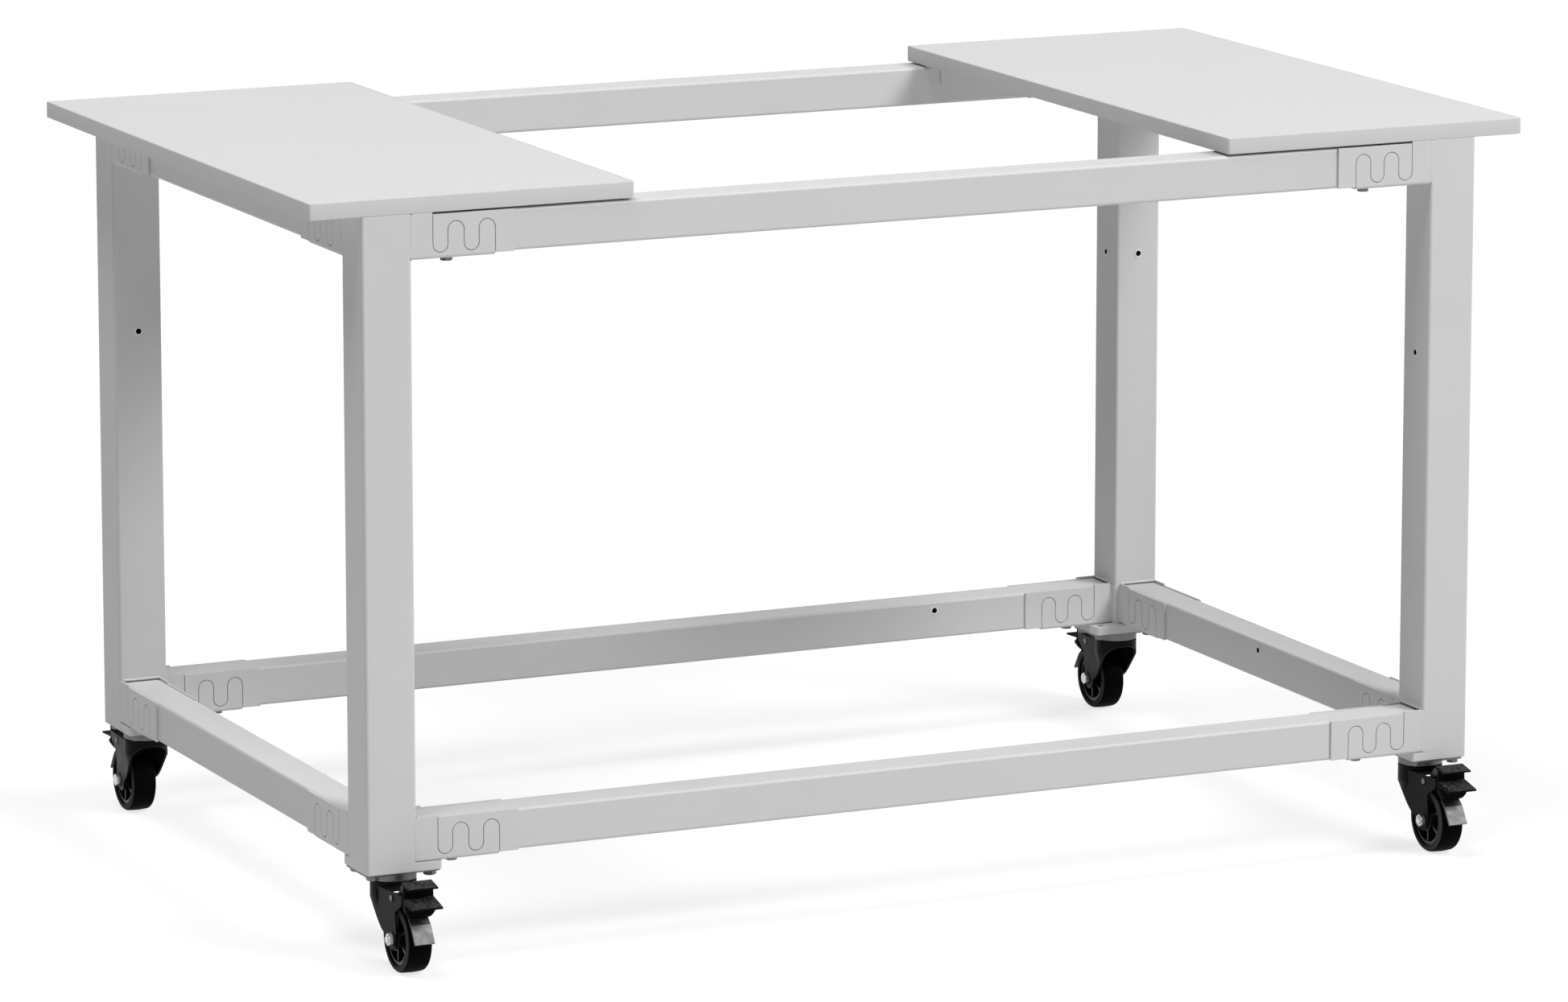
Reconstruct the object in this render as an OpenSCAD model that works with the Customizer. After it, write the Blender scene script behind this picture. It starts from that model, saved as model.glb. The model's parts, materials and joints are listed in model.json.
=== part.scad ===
// Mobile machine stand: a hooked-together steel frame on four braked swivel castors,
// with a board on each side and an open middle where the machine stands.
// Origin: middle of the footprint, on the floor. X runs along the front, Y to the back, Z up.

/* [Frame] */
// Length over the legs
frame_len = 1412; // [900:4:2000]
// Depth over the legs
frame_dep = 860; // [560:4:1200]
// Height from the underside of the foot plates to the underside of the boards
leg_height = 748; // [400:2:900]
// Side of the square leg tube
leg_size = 60; // [56:1:66]
// Wall of the leg tube
leg_wall = 2.5; // [2:0.5:4]
// Outer corner radius of the leg tube
leg_corner = 4; // [3:0.5:6]

/* [Foot plates] */
// Long side of the foot plate
foot_long = 91; // [90:1:110]
// Short side of the foot plate
foot_short = 73; // [68:1:90]
// Thickness of the foot plate
foot_thick = 10; // [8:0.5:16]
// Corner radius of the foot plate
foot_corner = 4; // [2:0.5:8]

/* [Rails] */
// Side of the square rail tube
rail_size = 47.5; // [44:0.5:50]
// Wall of the rail tube
rail_wall = 2; // [1.5:0.5:3]
// Outer corner radius of the rail tube
rail_corner = 3.5; // [3:0.5:5]
// Gap between the top of the top rails and the boards
rail_drop = 2.3; // [1:0.1:5]
// Gap between the end of a rail and its leg
rail_end_gap = 3; // [2:0.5:6]

/* [Hook joints] */
// Thickness of the bracket and hook plates
sheet = 2.5; // [2:0.25:3]
// Length of the bracket, out from the leg
bracket_len = 100; // [94:1:112]
// Full-height wall of the bracket next to the leg
bracket_wall = 25; // [20:1:32]
// Gap along the seam between bracket and hook plate
seam = 0.8; // [0.5:0.1:1.2]
// Height of the bottom of the slots above the underside of the rail
slot_floor = 4; // [3:0.5:6]
// Height of the top of the fingers above the underside of the rail
finger_top = 38.3; // [34:0.1:40]
// End of the hook plate, out from the leg
hook_end = 123.5; // [118:0.5:140]
// Joint bolt, out from the leg, at the long side of the foot plate
bolt_far_side = 52; // [46:1:58]
// Joint bolt, out from the leg, at the short side of the foot plate
bolt_near_side = 76.5; // [70:0.5:84]

/* [Boards] */
// Length of one board along the front
board_len = 392; // [300:2:500]
// How far the boards stop short of the back of the frame
board_back_gap = 2; // [0:0.5:12]
// Thickness of the boards
board_thick = 19; // [15:1:28]
// How far the boards stand out past the legs
board_over = 62; // [20:1:90]
// Corner radius of the boards
board_corner = 4; // [2:0.5:8]
// Distance of the side tabs from the front and from the back of the frame
tab_inset = 230; // [200:5:280]

/* [Castors] */
// Height from the floor to the underside of the foot plates
castor_height = 113; // [110:0.5:130]
// Wheel diameter
wheel_d = 79; // [74:1:81]
// Tread width
wheel_w = 30; // [26:1:32]
// Distance from the swivel axis to the wheel axle
trail = 42; // [40:0.5:44]
// Long side of the castor plate
plate_long = 90; // [86:1:92]
// Short side of the castor plate
plate_short = 66; // [64:1:70]
// Thickness of the castor plate
plate_thick = 2.5; // [2:0.5:3.5]
// Bolt spacing along the castor plate
plate_bolt_long = 69; // [66:1:72]
// Bolt spacing across the castor plate
plate_bolt_short = 48; // [44:1:48]
// Thickness of the pressed fork
fork_sheet = 2.5; // [2:0.25:3]
// Room between the wheel and each fork cheek
fork_room = 1.25; // [1:0.25:3]

/* [Fasteners] */
// Shank diameter of the joint and castor bolts
bolt_d = 8; // [6:1:8]
// Radial clearance of a bolt in its thread or bore
thread_gap = 0.05; // [0.03:0.01:0.1]
// Across flats of the bolt heads and nuts
hex_flats = 13; // [10:1:14]
// Height of a bolt head
head_height = 5.3; // [4:0.1:6]

/* [Hidden] */
$fn = 48;
// Name, side along X and side along Y of each corner, in turn from the front left
CORNERS = [["front_left", -1, -1], ["front_right", 1, -1], ["back_right", 1, 1], ["back_left", -1, 1]];

// Undersides of the bottom and the top rails, above the underside of the foot plates
low_rail = foot_thick + sheet;
top_rail = leg_height - rail_drop - rail_size;
// Width of a slot or a finger, and the radius of its round end
finger_w = (bracket_len - bracket_wall) / 4;
finger_r = finger_w / 2;
// Outside of the bracket across the rail, and its height above the underside of the rail
bracket_w = rail_size + 2 * sheet;
bracket_top = rail_size + rail_drop;
// Middle of the rail, in from the outer face of the leg
rail_mid = bracket_w / 2;
// Radii of the bolt, of its tapped and its clear hole, and of its washer
bolt_r = bolt_d / 2;
tap_r = bolt_r + thread_gap;
clear_r = bolt_r + 0.5;
washer_r = bolt_d;
washer_t = 1.6;
nut_h = 6.5;
// Circumscribed radius of a hexagon
hex_r = hex_flats / 2 / cos(30);

// Threaded inserts: height on the legs, place along the long rails, rim, body and bore
leg_insert_z = 490;
rail_insert_x = 312;
rail_insert_z = 36;
insert_rim_r = 5.5;
insert_rim_t = 0.8;
insert_body_r = 4.4;
insert_bore_r = 2.5;
insert_len = 8;

// Board tabs: width, legs of the angle, place in from the inner edge of the board and along the sides
tab_w = 24;
tab_leg = 24;
tab_sheet = 2.5;
tab_in = 36;
screw_r = 2;
screw_head_r = 4.2;
screw_head_h = 2.6;
screw_deep = 13;
screw_gap = 0.05;
screw_point = 0.5;
tab_hole_gap = 0.4;

// Castor heights below the underside of the foot plate
axle_z = wheel_d / 2 - castor_height;
dish_z = -13.4;
ball_r = 2;
ball_gap = 0.25;
ball_ring_r = 20;
ball_count = 20;
shoulder_z = -18;
crown_z = -14;
crown_floor_z = dish_z - 2 * ball_r - 2 * ball_gap;
crown_r = 26.5;
crown_rim = 2.5;
// Dished race in the plate: outer radius, wall and the round of its lower edge
dish_r = 26.5;
dish_wall = 2.5;
dish_round = 1.5;
plate_corner = 5;
pin_r = 6;
pin_gap = 0.05;
pin_head_r = 10;
pin_head_h = 3;
// Fork at the axle: half room between the cheeks and half outer width
fork_in = wheel_w / 2 + fork_room;
fork_out = fork_in + fork_sheet;
// The cheeks stand open to the top and to the back, turned about the axle by these angles
cheek_lean = 2.5;
cheek_open = 4.5;
// Side outline of a cheek: ends along the trail, heights of the notch and the ear, round foot
fork_ear = -71;
fork_front = -trail - 10;
fork_notch_z = -40;
ear_z = -30;
boss_r = 13;
// Shoulder wall round the back of the crown: bend, lower edge with its radius, front end; roof end
shoulder_bend_z = -32;
shoulder_low_z = -46;
shoulder_low_r = 23;
shoulder_fore = -10;
roof_fore = -36;
// Flat seats for the axle's head and nut
seat_r = 9;
axle_seat = fork_out + 1;
// Wheel: core and hub
core_r = wheel_d / 2 - 9;
core_rim = 4;
core_inset = 2;
hub_r = 13;
hub_gap = 0.4;
sleeve_r = 6;
web_t = 6;
rib_t = 2.5;
rib_count = 6;
tyre_shoulder = 4.4;
axle_nut_h = 5;
// Brake: pivot of the pedal, its pin and bosses, second pin, width, arms and steel lever
brake_y = -45;
brake_z = -25;
brake_pin_r = 3;
brake_boss_r = 5.2;
second_pin_y = -70;
second_pin_z = -26.8;
second_pin_r = 1.5;
pedal_w = 36;
pedal_wall = 2.5;
pedal_wall_y = -76;
pedal_foot_z = -43;
arm_gap = 0.6;
arm_t = 2.5;
lever_w = 24;
lever_t = 2.2;
// Flat seats for the heads of the pedal pin: radius and distance from the middle of the fork
pin_seat_r = 4.6;
pin_seat = fork_out + (brake_z - axle_z) * tan(cheek_lean) + (brake_y + trail) * tan(cheek_open) + 0.5;

// Colours of the real finishes
STEEL_PAINT = [0.78, 0.78, 0.77];
BOARD_GREY = [0.86, 0.86, 0.86];
ZINC = [0.72, 0.73, 0.74];
BLACK_PAINT = [0.13, 0.13, 0.14];
BLACK_RUBBER = [0.07, 0.07, 0.07];

// Length of the side that starts at corner i
function span(i) = i % 2 == 0 ? frame_len : frame_dep;
// Point on a cubic curve through the ends a and d, pulled by b and c
function curve(a, b, c, d, t) =
    pow(1 - t, 3) * a + 3 * pow(1 - t, 2) * t * b + 3 * (1 - t) * t * t * c + pow(t, 3) * d;

// The frame of corner i: its outer corner at the origin, X and Y along the two sides that meet there
module at_corner(i) {
    translate([CORNERS[i][1] * frame_len / 2, CORNERS[i][2] * frame_dep / 2, castor_height])
        rotate([0, 0, 90 * i])
            children();
}

// Both joints of a corner: the first along local X, the second along local Y
module both_ways() {
    children();
    mirror([1, -1, 0])
        children();
}

// The frame of a joint: X out from the leg, Y in from the outer face, Z up from the underside of the rail
module at_joint(z) {
    translate([leg_size, 0, z])
        children();
}

// The castor of corner i, turned as its fork stands: trailing forward at the front, backward at the back
module at_castor(i) {
    at_corner(i)
        translate([foot_long / 2, foot_short / 2, 0])
            rotate([0, 0, -90 * i + (i > 1 ? 180 : 0)])
                children();
}

// Plan of a plate or a tube with round corners
module rounded(w, d, r) {
    translate([r, 0])
        square([w - 2 * r, d]);
    translate([0, r])
        square([w, d - 2 * r]);
    for (x = [r, w - r], y = [r, d - r])
        translate([x, y])
            circle(r = r);
}

// A bar along X, from an outline in Y and Z
module along_x(len) {
    rotate([90, 0, 90])
        linear_extrude(len)
            children();
}

// Leg tube, open inside, with a hole for the insert in each inner face
module leg(i) {
    color(STEEL_PAINT)
        at_corner(i)
            difference() {
                translate([0, 0, foot_thick])
                    linear_extrude(leg_height - foot_thick)
                        rounded(leg_size, leg_size, leg_corner);
                translate([leg_wall, leg_wall, foot_thick - 1])
                    linear_extrude(leg_height)
                        rounded(leg_size - 2 * leg_wall, leg_size - 2 * leg_wall, leg_corner - leg_wall + 0.5);
                both_ways()
                    translate([leg_size - leg_wall - 1, leg_size / 2, leg_insert_z])
                        rotate([0, 90, 0])
                            cylinder(r = insert_body_r + thread_gap, h = leg_wall + 2);
            }
}

// Places of the four castor bolts, from the middle of the plate
module castor_bolt_places() {
    for (x = [-1, 1], y = [-1, 1])
        translate([foot_long / 2 + x * plate_bolt_long / 2, foot_short / 2 + y * plate_bolt_short / 2, 0])
            children();
}

// Foot plates, welded under the legs and tapped for the castor bolts
module foot_plates() {
    color(STEEL_PAINT)
        for (i = [0:3])
            at_corner(i)
                difference() {
                    linear_extrude(foot_thick)
                        rounded(foot_long, foot_short, foot_corner);
                    castor_bolt_places()
                        translate([0, 0, -1])
                            cylinder(r = tap_r, h = foot_thick + 2);
                }
}

// Rail tube of side i, with its underside at height z
module rail(i, z) {
    rail_len = span(i) - 2 * (leg_size + rail_end_gap);
    bolt_places = [bolt_far_side, span(i) - 2 * leg_size - bolt_near_side];
    insert_places = i % 2 == 0 ? [rail_insert_x, span(i) - rail_insert_x] : [span(i) / 2];
    color(STEEL_PAINT)
        at_corner(i)
            difference() {
                translate([leg_size + rail_end_gap, sheet, z])
                    along_x(rail_len)
                        rounded(rail_size, rail_size, rail_corner);
                translate([leg_size, sheet + rail_wall, z + rail_wall])
                    along_x(rail_len + 2 * rail_end_gap)
                        rounded(rail_size - 2 * rail_wall, rail_size - 2 * rail_wall, rail_corner - rail_wall);
                for (x = bolt_places)
                    translate([leg_size + x, rail_mid, z - 1])
                        cylinder(r = clear_r, h = rail_wall + 2);
                if (z == low_rail)
                    for (x = insert_places)
                        translate([x, sheet + rail_size - rail_wall - 1, z + rail_insert_z])
                            rotate([-90, 0, 0])
                                cylinder(r = insert_body_r + thread_gap, h = rail_wall + 2);
            }
}

// Middles of the slots and of the fingers, out from the leg
slot_middles = [for (n = [0, 2]) bracket_wall + (n + 0.5) * finger_w];
finger_middles = [for (n = [1, 3]) bracket_wall + (n + 0.5) * finger_w];

// Side view of a bracket wall: a tall wall at the leg, then round slots and round fingers
module bracket_outline() {
    translate([0, -sheet])
        square([bracket_wall, bracket_top + sheet]);
    difference() {
        translate([0, -sheet])
            square([bracket_len, sheet + slot_floor + finger_r]);
        for (x = slot_middles)
            translate([x, slot_floor + finger_r])
                circle(r = finger_r);
    }
    for (x = finger_middles) {
        translate([x - finger_r, slot_floor + finger_r - 1])
            square([finger_w, finger_top - slot_floor - 2 * finger_r + 1]);
        translate([x, finger_top - finger_r])
            circle(r = finger_r);
    }
}

// Side view of a hook plate: round hooks that drop into the slots, all round a seam away
module hook_outline() {
    hook_r = finger_r - seam;
    for (x = slot_middles) {
        translate([x, slot_floor + finger_r])
            circle(r = hook_r);
        translate([x - hook_r, slot_floor + finger_r])
            square([2 * hook_r, rail_size - slot_floor - finger_r]);
    }
    difference() {
        translate([bracket_wall + seam, finger_top - finger_r])
            square([hook_end - bracket_wall - seam, rail_size - finger_top + finger_r]);
        for (x = finger_middles)
            translate([x, finger_top - finger_r])
                circle(r = finger_r + seam);
    }
    translate([bracket_len + seam, 0])
        square([hook_end - bracket_len - seam, rail_size]);
}

// Bent bracket that the rail end drops into, with its bolt hole at bolt_x
module bracket(bolt_x) {
    difference() {
        intersection() {
            along_x(bracket_len)
                difference() {
                    translate([0, -sheet])
                        rounded(bracket_w, bracket_top + sheet + rail_corner, rail_corner);
                    translate([sheet, 0])
                        square([rail_size, bracket_top + rail_corner + 1]);
                }
            translate([0, bracket_w, 0])
                rotate([90, 0, 0])
                    linear_extrude(bracket_w)
                        bracket_outline();
        }
        translate([bolt_x, rail_mid, -sheet - 1])
            cylinder(r = clear_r, h = sheet + 2);
    }
}

// The four brackets of one leg
module brackets(i) {
    color(STEEL_PAINT)
        at_corner(i)
            for (z = [low_rail, top_rail]) {
                at_joint(z)
                    bracket(bolt_far_side);
                mirror([1, -1, 0])
                    at_joint(z)
                        bracket(bolt_near_side);
            }
}

// The two hook plates of one rail end
module hook_pair() {
    for (y = [sheet, bracket_w])
        translate([0, y, 0])
            rotate([90, 0, 0])
                linear_extrude(sheet)
                    hook_outline();
}

// Hook plates of the four rails at one level
module rail_hooks(z) {
    color(STEEL_PAINT)
        for (i = [0:3])
            at_corner(i)
                both_ways()
                    at_joint(z)
                        hook_pair();
}

// The sixteen joints, for their bolts, washers and nuts
module at_each_bolt() {
    for (i = [0:3], z = [low_rail, top_rail])
        at_corner(i) {
            at_joint(z)
                translate([bolt_far_side, rail_mid, 0])
                    children();
            mirror([1, -1, 0])
                at_joint(z)
                    translate([bolt_near_side, rail_mid, 0])
                        children();
        }
}

// Hex bolt with its head below, its shank through washer, bracket, rail and nut
module joint_bolts() {
    color(ZINC)
        at_each_bolt()
            translate([0, 0, -sheet - washer_t - head_height]) {
                cylinder(r = hex_r, h = head_height, $fn = 6);
                cylinder(r = bolt_r, h = head_height + washer_t + sheet + rail_wall + nut_h + 3);
            }
}

// Washers under the brackets
module joint_washers() {
    color(ZINC)
        at_each_bolt()
            translate([0, 0, -sheet - washer_t])
                difference() {
                    cylinder(r = washer_r, h = washer_t);
                    translate([0, 0, -1])
                        cylinder(r = clear_r, h = washer_t + 2);
                }
}

// Hex nuts welded inside the rails
module joint_nuts() {
    color(ZINC)
        at_each_bolt()
            translate([0, 0, rail_wall])
                difference() {
                    cylinder(r = hex_r, h = nut_h, $fn = 6);
                    translate([0, 0, -1])
                        cylinder(r = tap_r, h = nut_h + 2);
                }
}

// Threaded insert: a rim on the face, a body through the wall, a bore right through; Z points out
module insert() {
    difference() {
        union() {
            cylinder(r = insert_rim_r, h = insert_rim_t);
            translate([0, 0, insert_rim_t - insert_len])
                cylinder(r = insert_body_r, h = insert_len - insert_rim_t / 2);
        }
        translate([0, 0, -insert_len])
            cylinder(r = insert_bore_r, h = insert_len + 2);
    }
}

// Inserts in the inner faces of the legs and of the bottom rails
module threaded_inserts() {
    color(ZINC)
        for (i = [0:3])
            at_corner(i) {
                both_ways()
                    translate([leg_size, leg_size / 2, leg_insert_z])
                        rotate([0, 90, 0])
                            insert();
                for (x = i % 2 == 0 ? [rail_insert_x, span(i) - rail_insert_x] : [span(i) / 2])
                    translate([x, sheet + rail_size, low_rail + rail_insert_z])
                        rotate([-90, 0, 0])
                            insert();
            }
}

// Inner edge of the boards from the middle, and the height of their undersides
board_edge = frame_len / 2 + board_over - board_len;
board_dep = frame_dep - board_back_gap;
tab_side = frame_dep / 2 - tab_inset;
board_z = castor_height + leg_height;

// Places of the board tabs: Y points in from the rail, the origin is on its inner face
module at_each_tab() {
    for (turn = [0, 180])
        rotate([0, 0, turn]) {
            for (x = [-1, 1])
                translate([x * (board_edge + tab_in), -frame_dep / 2 + sheet + rail_size, board_z])
                    children();
            for (y = [-1, 1])
                translate([frame_len / 2 - sheet - rail_size, y * tab_side, board_z])
                    rotate([0, 0, 90])
                        children();
        }
}

// Angle tabs welded to the top rails, under the boards
module board_tabs() {
    color(STEEL_PAINT)
        at_each_tab()
            difference() {
                union() {
                    translate([-tab_w / 2, 0, -tab_leg])
                        cube([tab_w, tab_sheet, tab_leg]);
                    translate([-tab_w / 2, 0, -tab_sheet])
                        cube([tab_w, tab_leg, tab_sheet]);
                }
                translate([0, tab_leg / 2 + tab_sheet, -tab_sheet - 1])
                    cylinder(r = screw_r + tab_hole_gap, h = tab_sheet + 2);
            }
}

// Screws up through the tabs into the boards
module board_screws() {
    color(ZINC)
        at_each_tab()
            translate([0, tab_leg / 2 + tab_sheet, -tab_sheet - screw_head_h]) {
                cylinder(r = screw_head_r, h = screw_head_h);
                cylinder(r = screw_r, h = screw_head_h + tab_sheet + screw_deep);
            }
}

// Board on one side: -1 left, 1 right
module board(way) {
    color(BOARD_GREY)
        difference() {
            translate([way > 0 ? board_edge : -board_edge - board_len, -frame_dep / 2, board_z])
                linear_extrude(board_thick)
                    rounded(board_len, board_dep, board_corner);
            at_each_tab()
                translate([0, tab_leg / 2 + tab_sheet, -1])
                    cylinder(r = screw_r + screw_gap, h = screw_deep + 1 + screw_point);
        }
}

// Top plates of the castors, pressed down into a round race that the fork swivels under
module castor_plates() {
    color(ZINC)
        for (i = [0:3])
            at_corner(i)
                difference() {
                    union() {
                        translate([(foot_long - plate_long) / 2, (foot_short - plate_short) / 2, -plate_thick])
                            linear_extrude(plate_thick)
                                rounded(plate_long, plate_short, plate_corner);
                        translate([foot_long / 2, foot_short / 2, 0])
                            rotate_extrude() {
                                translate([0, dish_z])
                                    square([dish_r - dish_round, -plate_thick - dish_z]);
                                translate([0, dish_z + dish_round])
                                    square([dish_r, -plate_thick - dish_z - dish_round]);
                                translate([dish_r - dish_round, dish_z + dish_round])
                                    circle(r = dish_round);
                            }
                    }
                    translate([foot_long / 2, foot_short / 2, dish_z + dish_wall])
                        cylinder(r = dish_r - dish_wall, h = castor_height);
                    translate([foot_long / 2, foot_short / 2, dish_z - 1])
                        cylinder(r = pin_r + pin_gap, h = castor_height);
                    castor_bolt_places()
                        translate([0, 0, -plate_thick - 1])
                            cylinder(r = clear_r, h = plate_thick + 2);
                }
}

// Hex bolts that hold the castor plates to the foot plates
module castor_bolts() {
    color(ZINC)
        for (i = [0:3])
            at_corner(i)
                castor_bolt_places()
                    translate([0, 0, -plate_thick - head_height])
                        rotate([0, 0, 30]) {
                            cylinder(r = hex_r, h = head_height, $fn = 6);
                            cylinder(r = bolt_r, h = head_height + plate_thick + foot_thick - 0.5);
                        }
}

// King pins: a head in the dish of each plate and a head under the roof of each fork
module king_pins() {
    head_gap = 0.3;
    roof_z = shoulder_z - fork_sheet;
    color(ZINC)
        for (i = [0:3])
            at_castor(i) {
                translate([0, 0, dish_z + dish_wall])
                    cylinder(r = pin_head_r, h = pin_head_h);
                translate([0, 0, roof_z - head_gap])
                    cylinder(r = pin_r, h = dish_z + dish_wall - roof_z + head_gap + 1);
                translate([0, 0, roof_z - head_gap - pin_head_h])
                    cylinder(r = pin_head_r, h = pin_head_h);
            }
}

// Rings of balls between the dished races and the fork crowns
module swivel_balls() {
    color(ZINC)
        for (i = [0:3])
            at_castor(i)
                for (turn = [0:ball_count - 1])
                    rotate([0, 0, turn * 360 / ball_count])
                        translate([ball_ring_r, 0, dish_z - ball_gap - ball_r])
                            sphere(r = ball_r);
}

// Side view of a fork cheek, Y along the trail: hollow rear edge, round foot, forward ear for the brake
module cheek_outline() {
    steps = 10;
    rear = [crown_r, shoulder_z - fork_sheet];
    rear_pull = [11, -24.5];
    low = [-trail + 20, axle_z + 3];
    low_pull = [-4.5, -65];
    foot_in = 6;
    ear_chamfer = [3, 6];
    polygon(concat(
        [[crown_r, shoulder_z]],
        [for (t = [0:1 / steps:1]) curve(rear, rear_pull, low_pull, low, t)],
        [[fork_front + boss_r + foot_in, axle_z - boss_r + 2], [fork_front + boss_r, axle_z],
         [fork_front, axle_z], [fork_front, fork_notch_z],
         [fork_ear + ear_chamfer[0], ear_z], [fork_ear, ear_z + ear_chamfer[1]],
         [fork_ear, shoulder_z]]
    ));
    translate([fork_front + boss_r, axle_z])
        circle(r = boss_r);
}

// The frame of a cheek, 0 right and 1 left: X out from its inner face, turned about the axle
module at_cheek(way) {
    mirror([way, 0, 0])
        translate([fork_out, -trail, axle_z])
            rotate([0, cheek_lean, -cheek_open])
                translate([-fork_sheet, trail, -axle_z])
                    children();
}

// Shoulder wall round the back of the crown, cut by the side outline into the arch over the tyre
module fork_shoulders() {
    under_z = shoulder_z - fork_sheet;
    intersection() {
        translate([-crown_r, 0, 0])
            along_x(2 * crown_r)
                cheek_outline();
        translate([-crown_r, shoulder_fore, shoulder_low_z])
            cube([2 * crown_r, crown_r - shoulder_fore, -shoulder_low_z]);
        rotate_extrude()
            polygon([[crown_r, under_z], [crown_r, shoulder_bend_z], [shoulder_low_r, shoulder_low_z],
                     [shoulder_low_r - fork_sheet, shoulder_low_z],
                     [crown_r - fork_sheet, shoulder_bend_z], [crown_r - fork_sheet, under_z]]);
    }
}

// Half width at the middle of the cheeks' sheet under the crown, at a place along the trail
function roof_half(y) =
    fork_in + fork_sheet / 2 + (y + trail) * tan(cheek_open) + (shoulder_z - axle_z) * tan(cheek_lean);

// Both cheeks, kept inside the round of the crown behind the swivel axis, and the roof sheet between them
module fork_sheets() {
    under_z = shoulder_z - fork_sheet;
    intersection() {
        for (way = [0, 1])
            at_cheek(way)
                along_x(fork_sheet)
                    cheek_outline();
        translate([0, 0, -castor_height]) {
            cylinder(r = crown_r, h = castor_height);
            translate([-castor_height, -castor_height, 0])
                cube([2 * castor_height, castor_height, castor_height]);
        }
    }
    translate([0, 0, under_z])
        linear_extrude(height = fork_sheet)
            polygon([[roof_half(0), 0], [-roof_half(0), 0],
                     [-roof_half(roof_fore), roof_fore], [roof_half(roof_fore), roof_fore]]);
}

// Pressed fork: crown, shoulder wall, two open-standing cheeks, flat seats for the axle and the pin
module fork(i) {
    color(BLACK_PAINT)
        at_castor(i)
            difference() {
                union() {
                    translate([0, 0, shoulder_z - fork_sheet])
                        cylinder(r = crown_r, h = crown_z - shoulder_z + fork_sheet);
                    fork_shoulders();
                    fork_sheets();
                    for (way = [0, 1])
                        mirror([way, 0, 0])
                            rotate([0, 90, 0]) {
                                translate([-axle_z, -trail, axle_seat - fork_sheet])
                                    cylinder(r = seat_r, h = fork_sheet);
                                translate([-brake_z, brake_y, pin_seat - fork_sheet])
                                    cylinder(r = pin_seat_r, h = fork_sheet);
                            }
                }
                translate([0, 0, crown_floor_z])
                    cylinder(r = crown_r - crown_rim, h = castor_height);
                cylinder(r = pin_r + pin_gap, h = castor_height, center = true);
                rotate([0, 90, 0]) {
                    translate([-axle_z, -trail, 0]) {
                        cylinder(r = tap_r, h = 4 * fork_out, center = true);
                        cylinder(r = boss_r + 1, h = 2 * fork_in, center = true);
                        for (x = [axle_seat, -axle_seat - seat_r])
                            translate([0, 0, x])
                                cylinder(r = seat_r, h = seat_r);
                    }
                    translate([-brake_z, brake_y, 0])
                        cylinder(r = brake_pin_r + pin_gap, h = 4 * fork_out, center = true);
                }
            }
}

// Axle of one castor: hex bolt from the right, nut on the left, spacer sleeve between the cheeks
module axle(i) {
    color(ZINC)
        at_castor(i)
            translate([0, -trail, axle_z])
                rotate([0, 90, 0]) {
                    translate([0, 0, axle_seat])
                        cylinder(r = hex_r, h = head_height, $fn = 6);
                    translate([0, 0, -axle_seat - axle_nut_h - 2])
                        cylinder(r = bolt_r, h = 2 * axle_seat + axle_nut_h + 3);
                    difference() {
                        translate([0, 0, -axle_seat - axle_nut_h])
                            cylinder(r = hex_r, h = axle_nut_h, $fn = 6);
                        cylinder(r = tap_r, h = 2 * castor_height, center = true);
                    }
                    difference() {
                        cylinder(r = sleeve_r, h = 2 * fork_in, center = true);
                        cylinder(r = tap_r, h = 2 * castor_height, center = true);
                    }
                }
}

// Moulded wheel core: hub on the sleeve, thin web with ribs, rim under the tyre
module wheel_core(i) {
    hub_half = fork_in - hub_gap;
    rim_half = wheel_w / 2 - core_inset;
    color(BLACK_PAINT)
        at_castor(i)
            translate([0, -trail, axle_z])
                rotate([0, 90, 0]) {
                    rotate_extrude()
                        translate([sleeve_r + pin_gap, -hub_half])
                            square([hub_r - sleeve_r - pin_gap, 2 * hub_half]);
                    rotate_extrude()
                        translate([hub_r - 1, -web_t / 2])
                            square([core_r - hub_r, web_t]);
                    rotate_extrude()
                        translate([core_r - core_rim, -rim_half])
                            square([core_rim, 2 * rim_half]);
                    for (turn = [0:rib_count - 1])
                        rotate([0, 0, turn * 360 / rib_count])
                            translate([hub_r - 1, -rib_t / 2, -rim_half + 1])
                                cube([core_r - hub_r - 1, rib_t, 2 * rim_half - 2]);
                }
}

// Tyre with round shoulders
module tyre(i) {
    depth = wheel_d / 2 - core_r;
    color(BLACK_RUBBER)
        at_castor(i)
            translate([0, -trail, axle_z])
                rotate([0, 90, 0])
                    rotate_extrude()
                        translate([core_r, -wheel_w / 2]) {
                            square([depth - tyre_shoulder, wheel_w]);
                            translate([0, tyre_shoulder])
                                square([depth, wheel_w - 2 * tyre_shoulder]);
                            for (y = [tyre_shoulder, wheel_w - tyre_shoulder])
                                translate([depth - tyre_shoulder, y])
                                    circle(r = tyre_shoulder);
                        }
}

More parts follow.
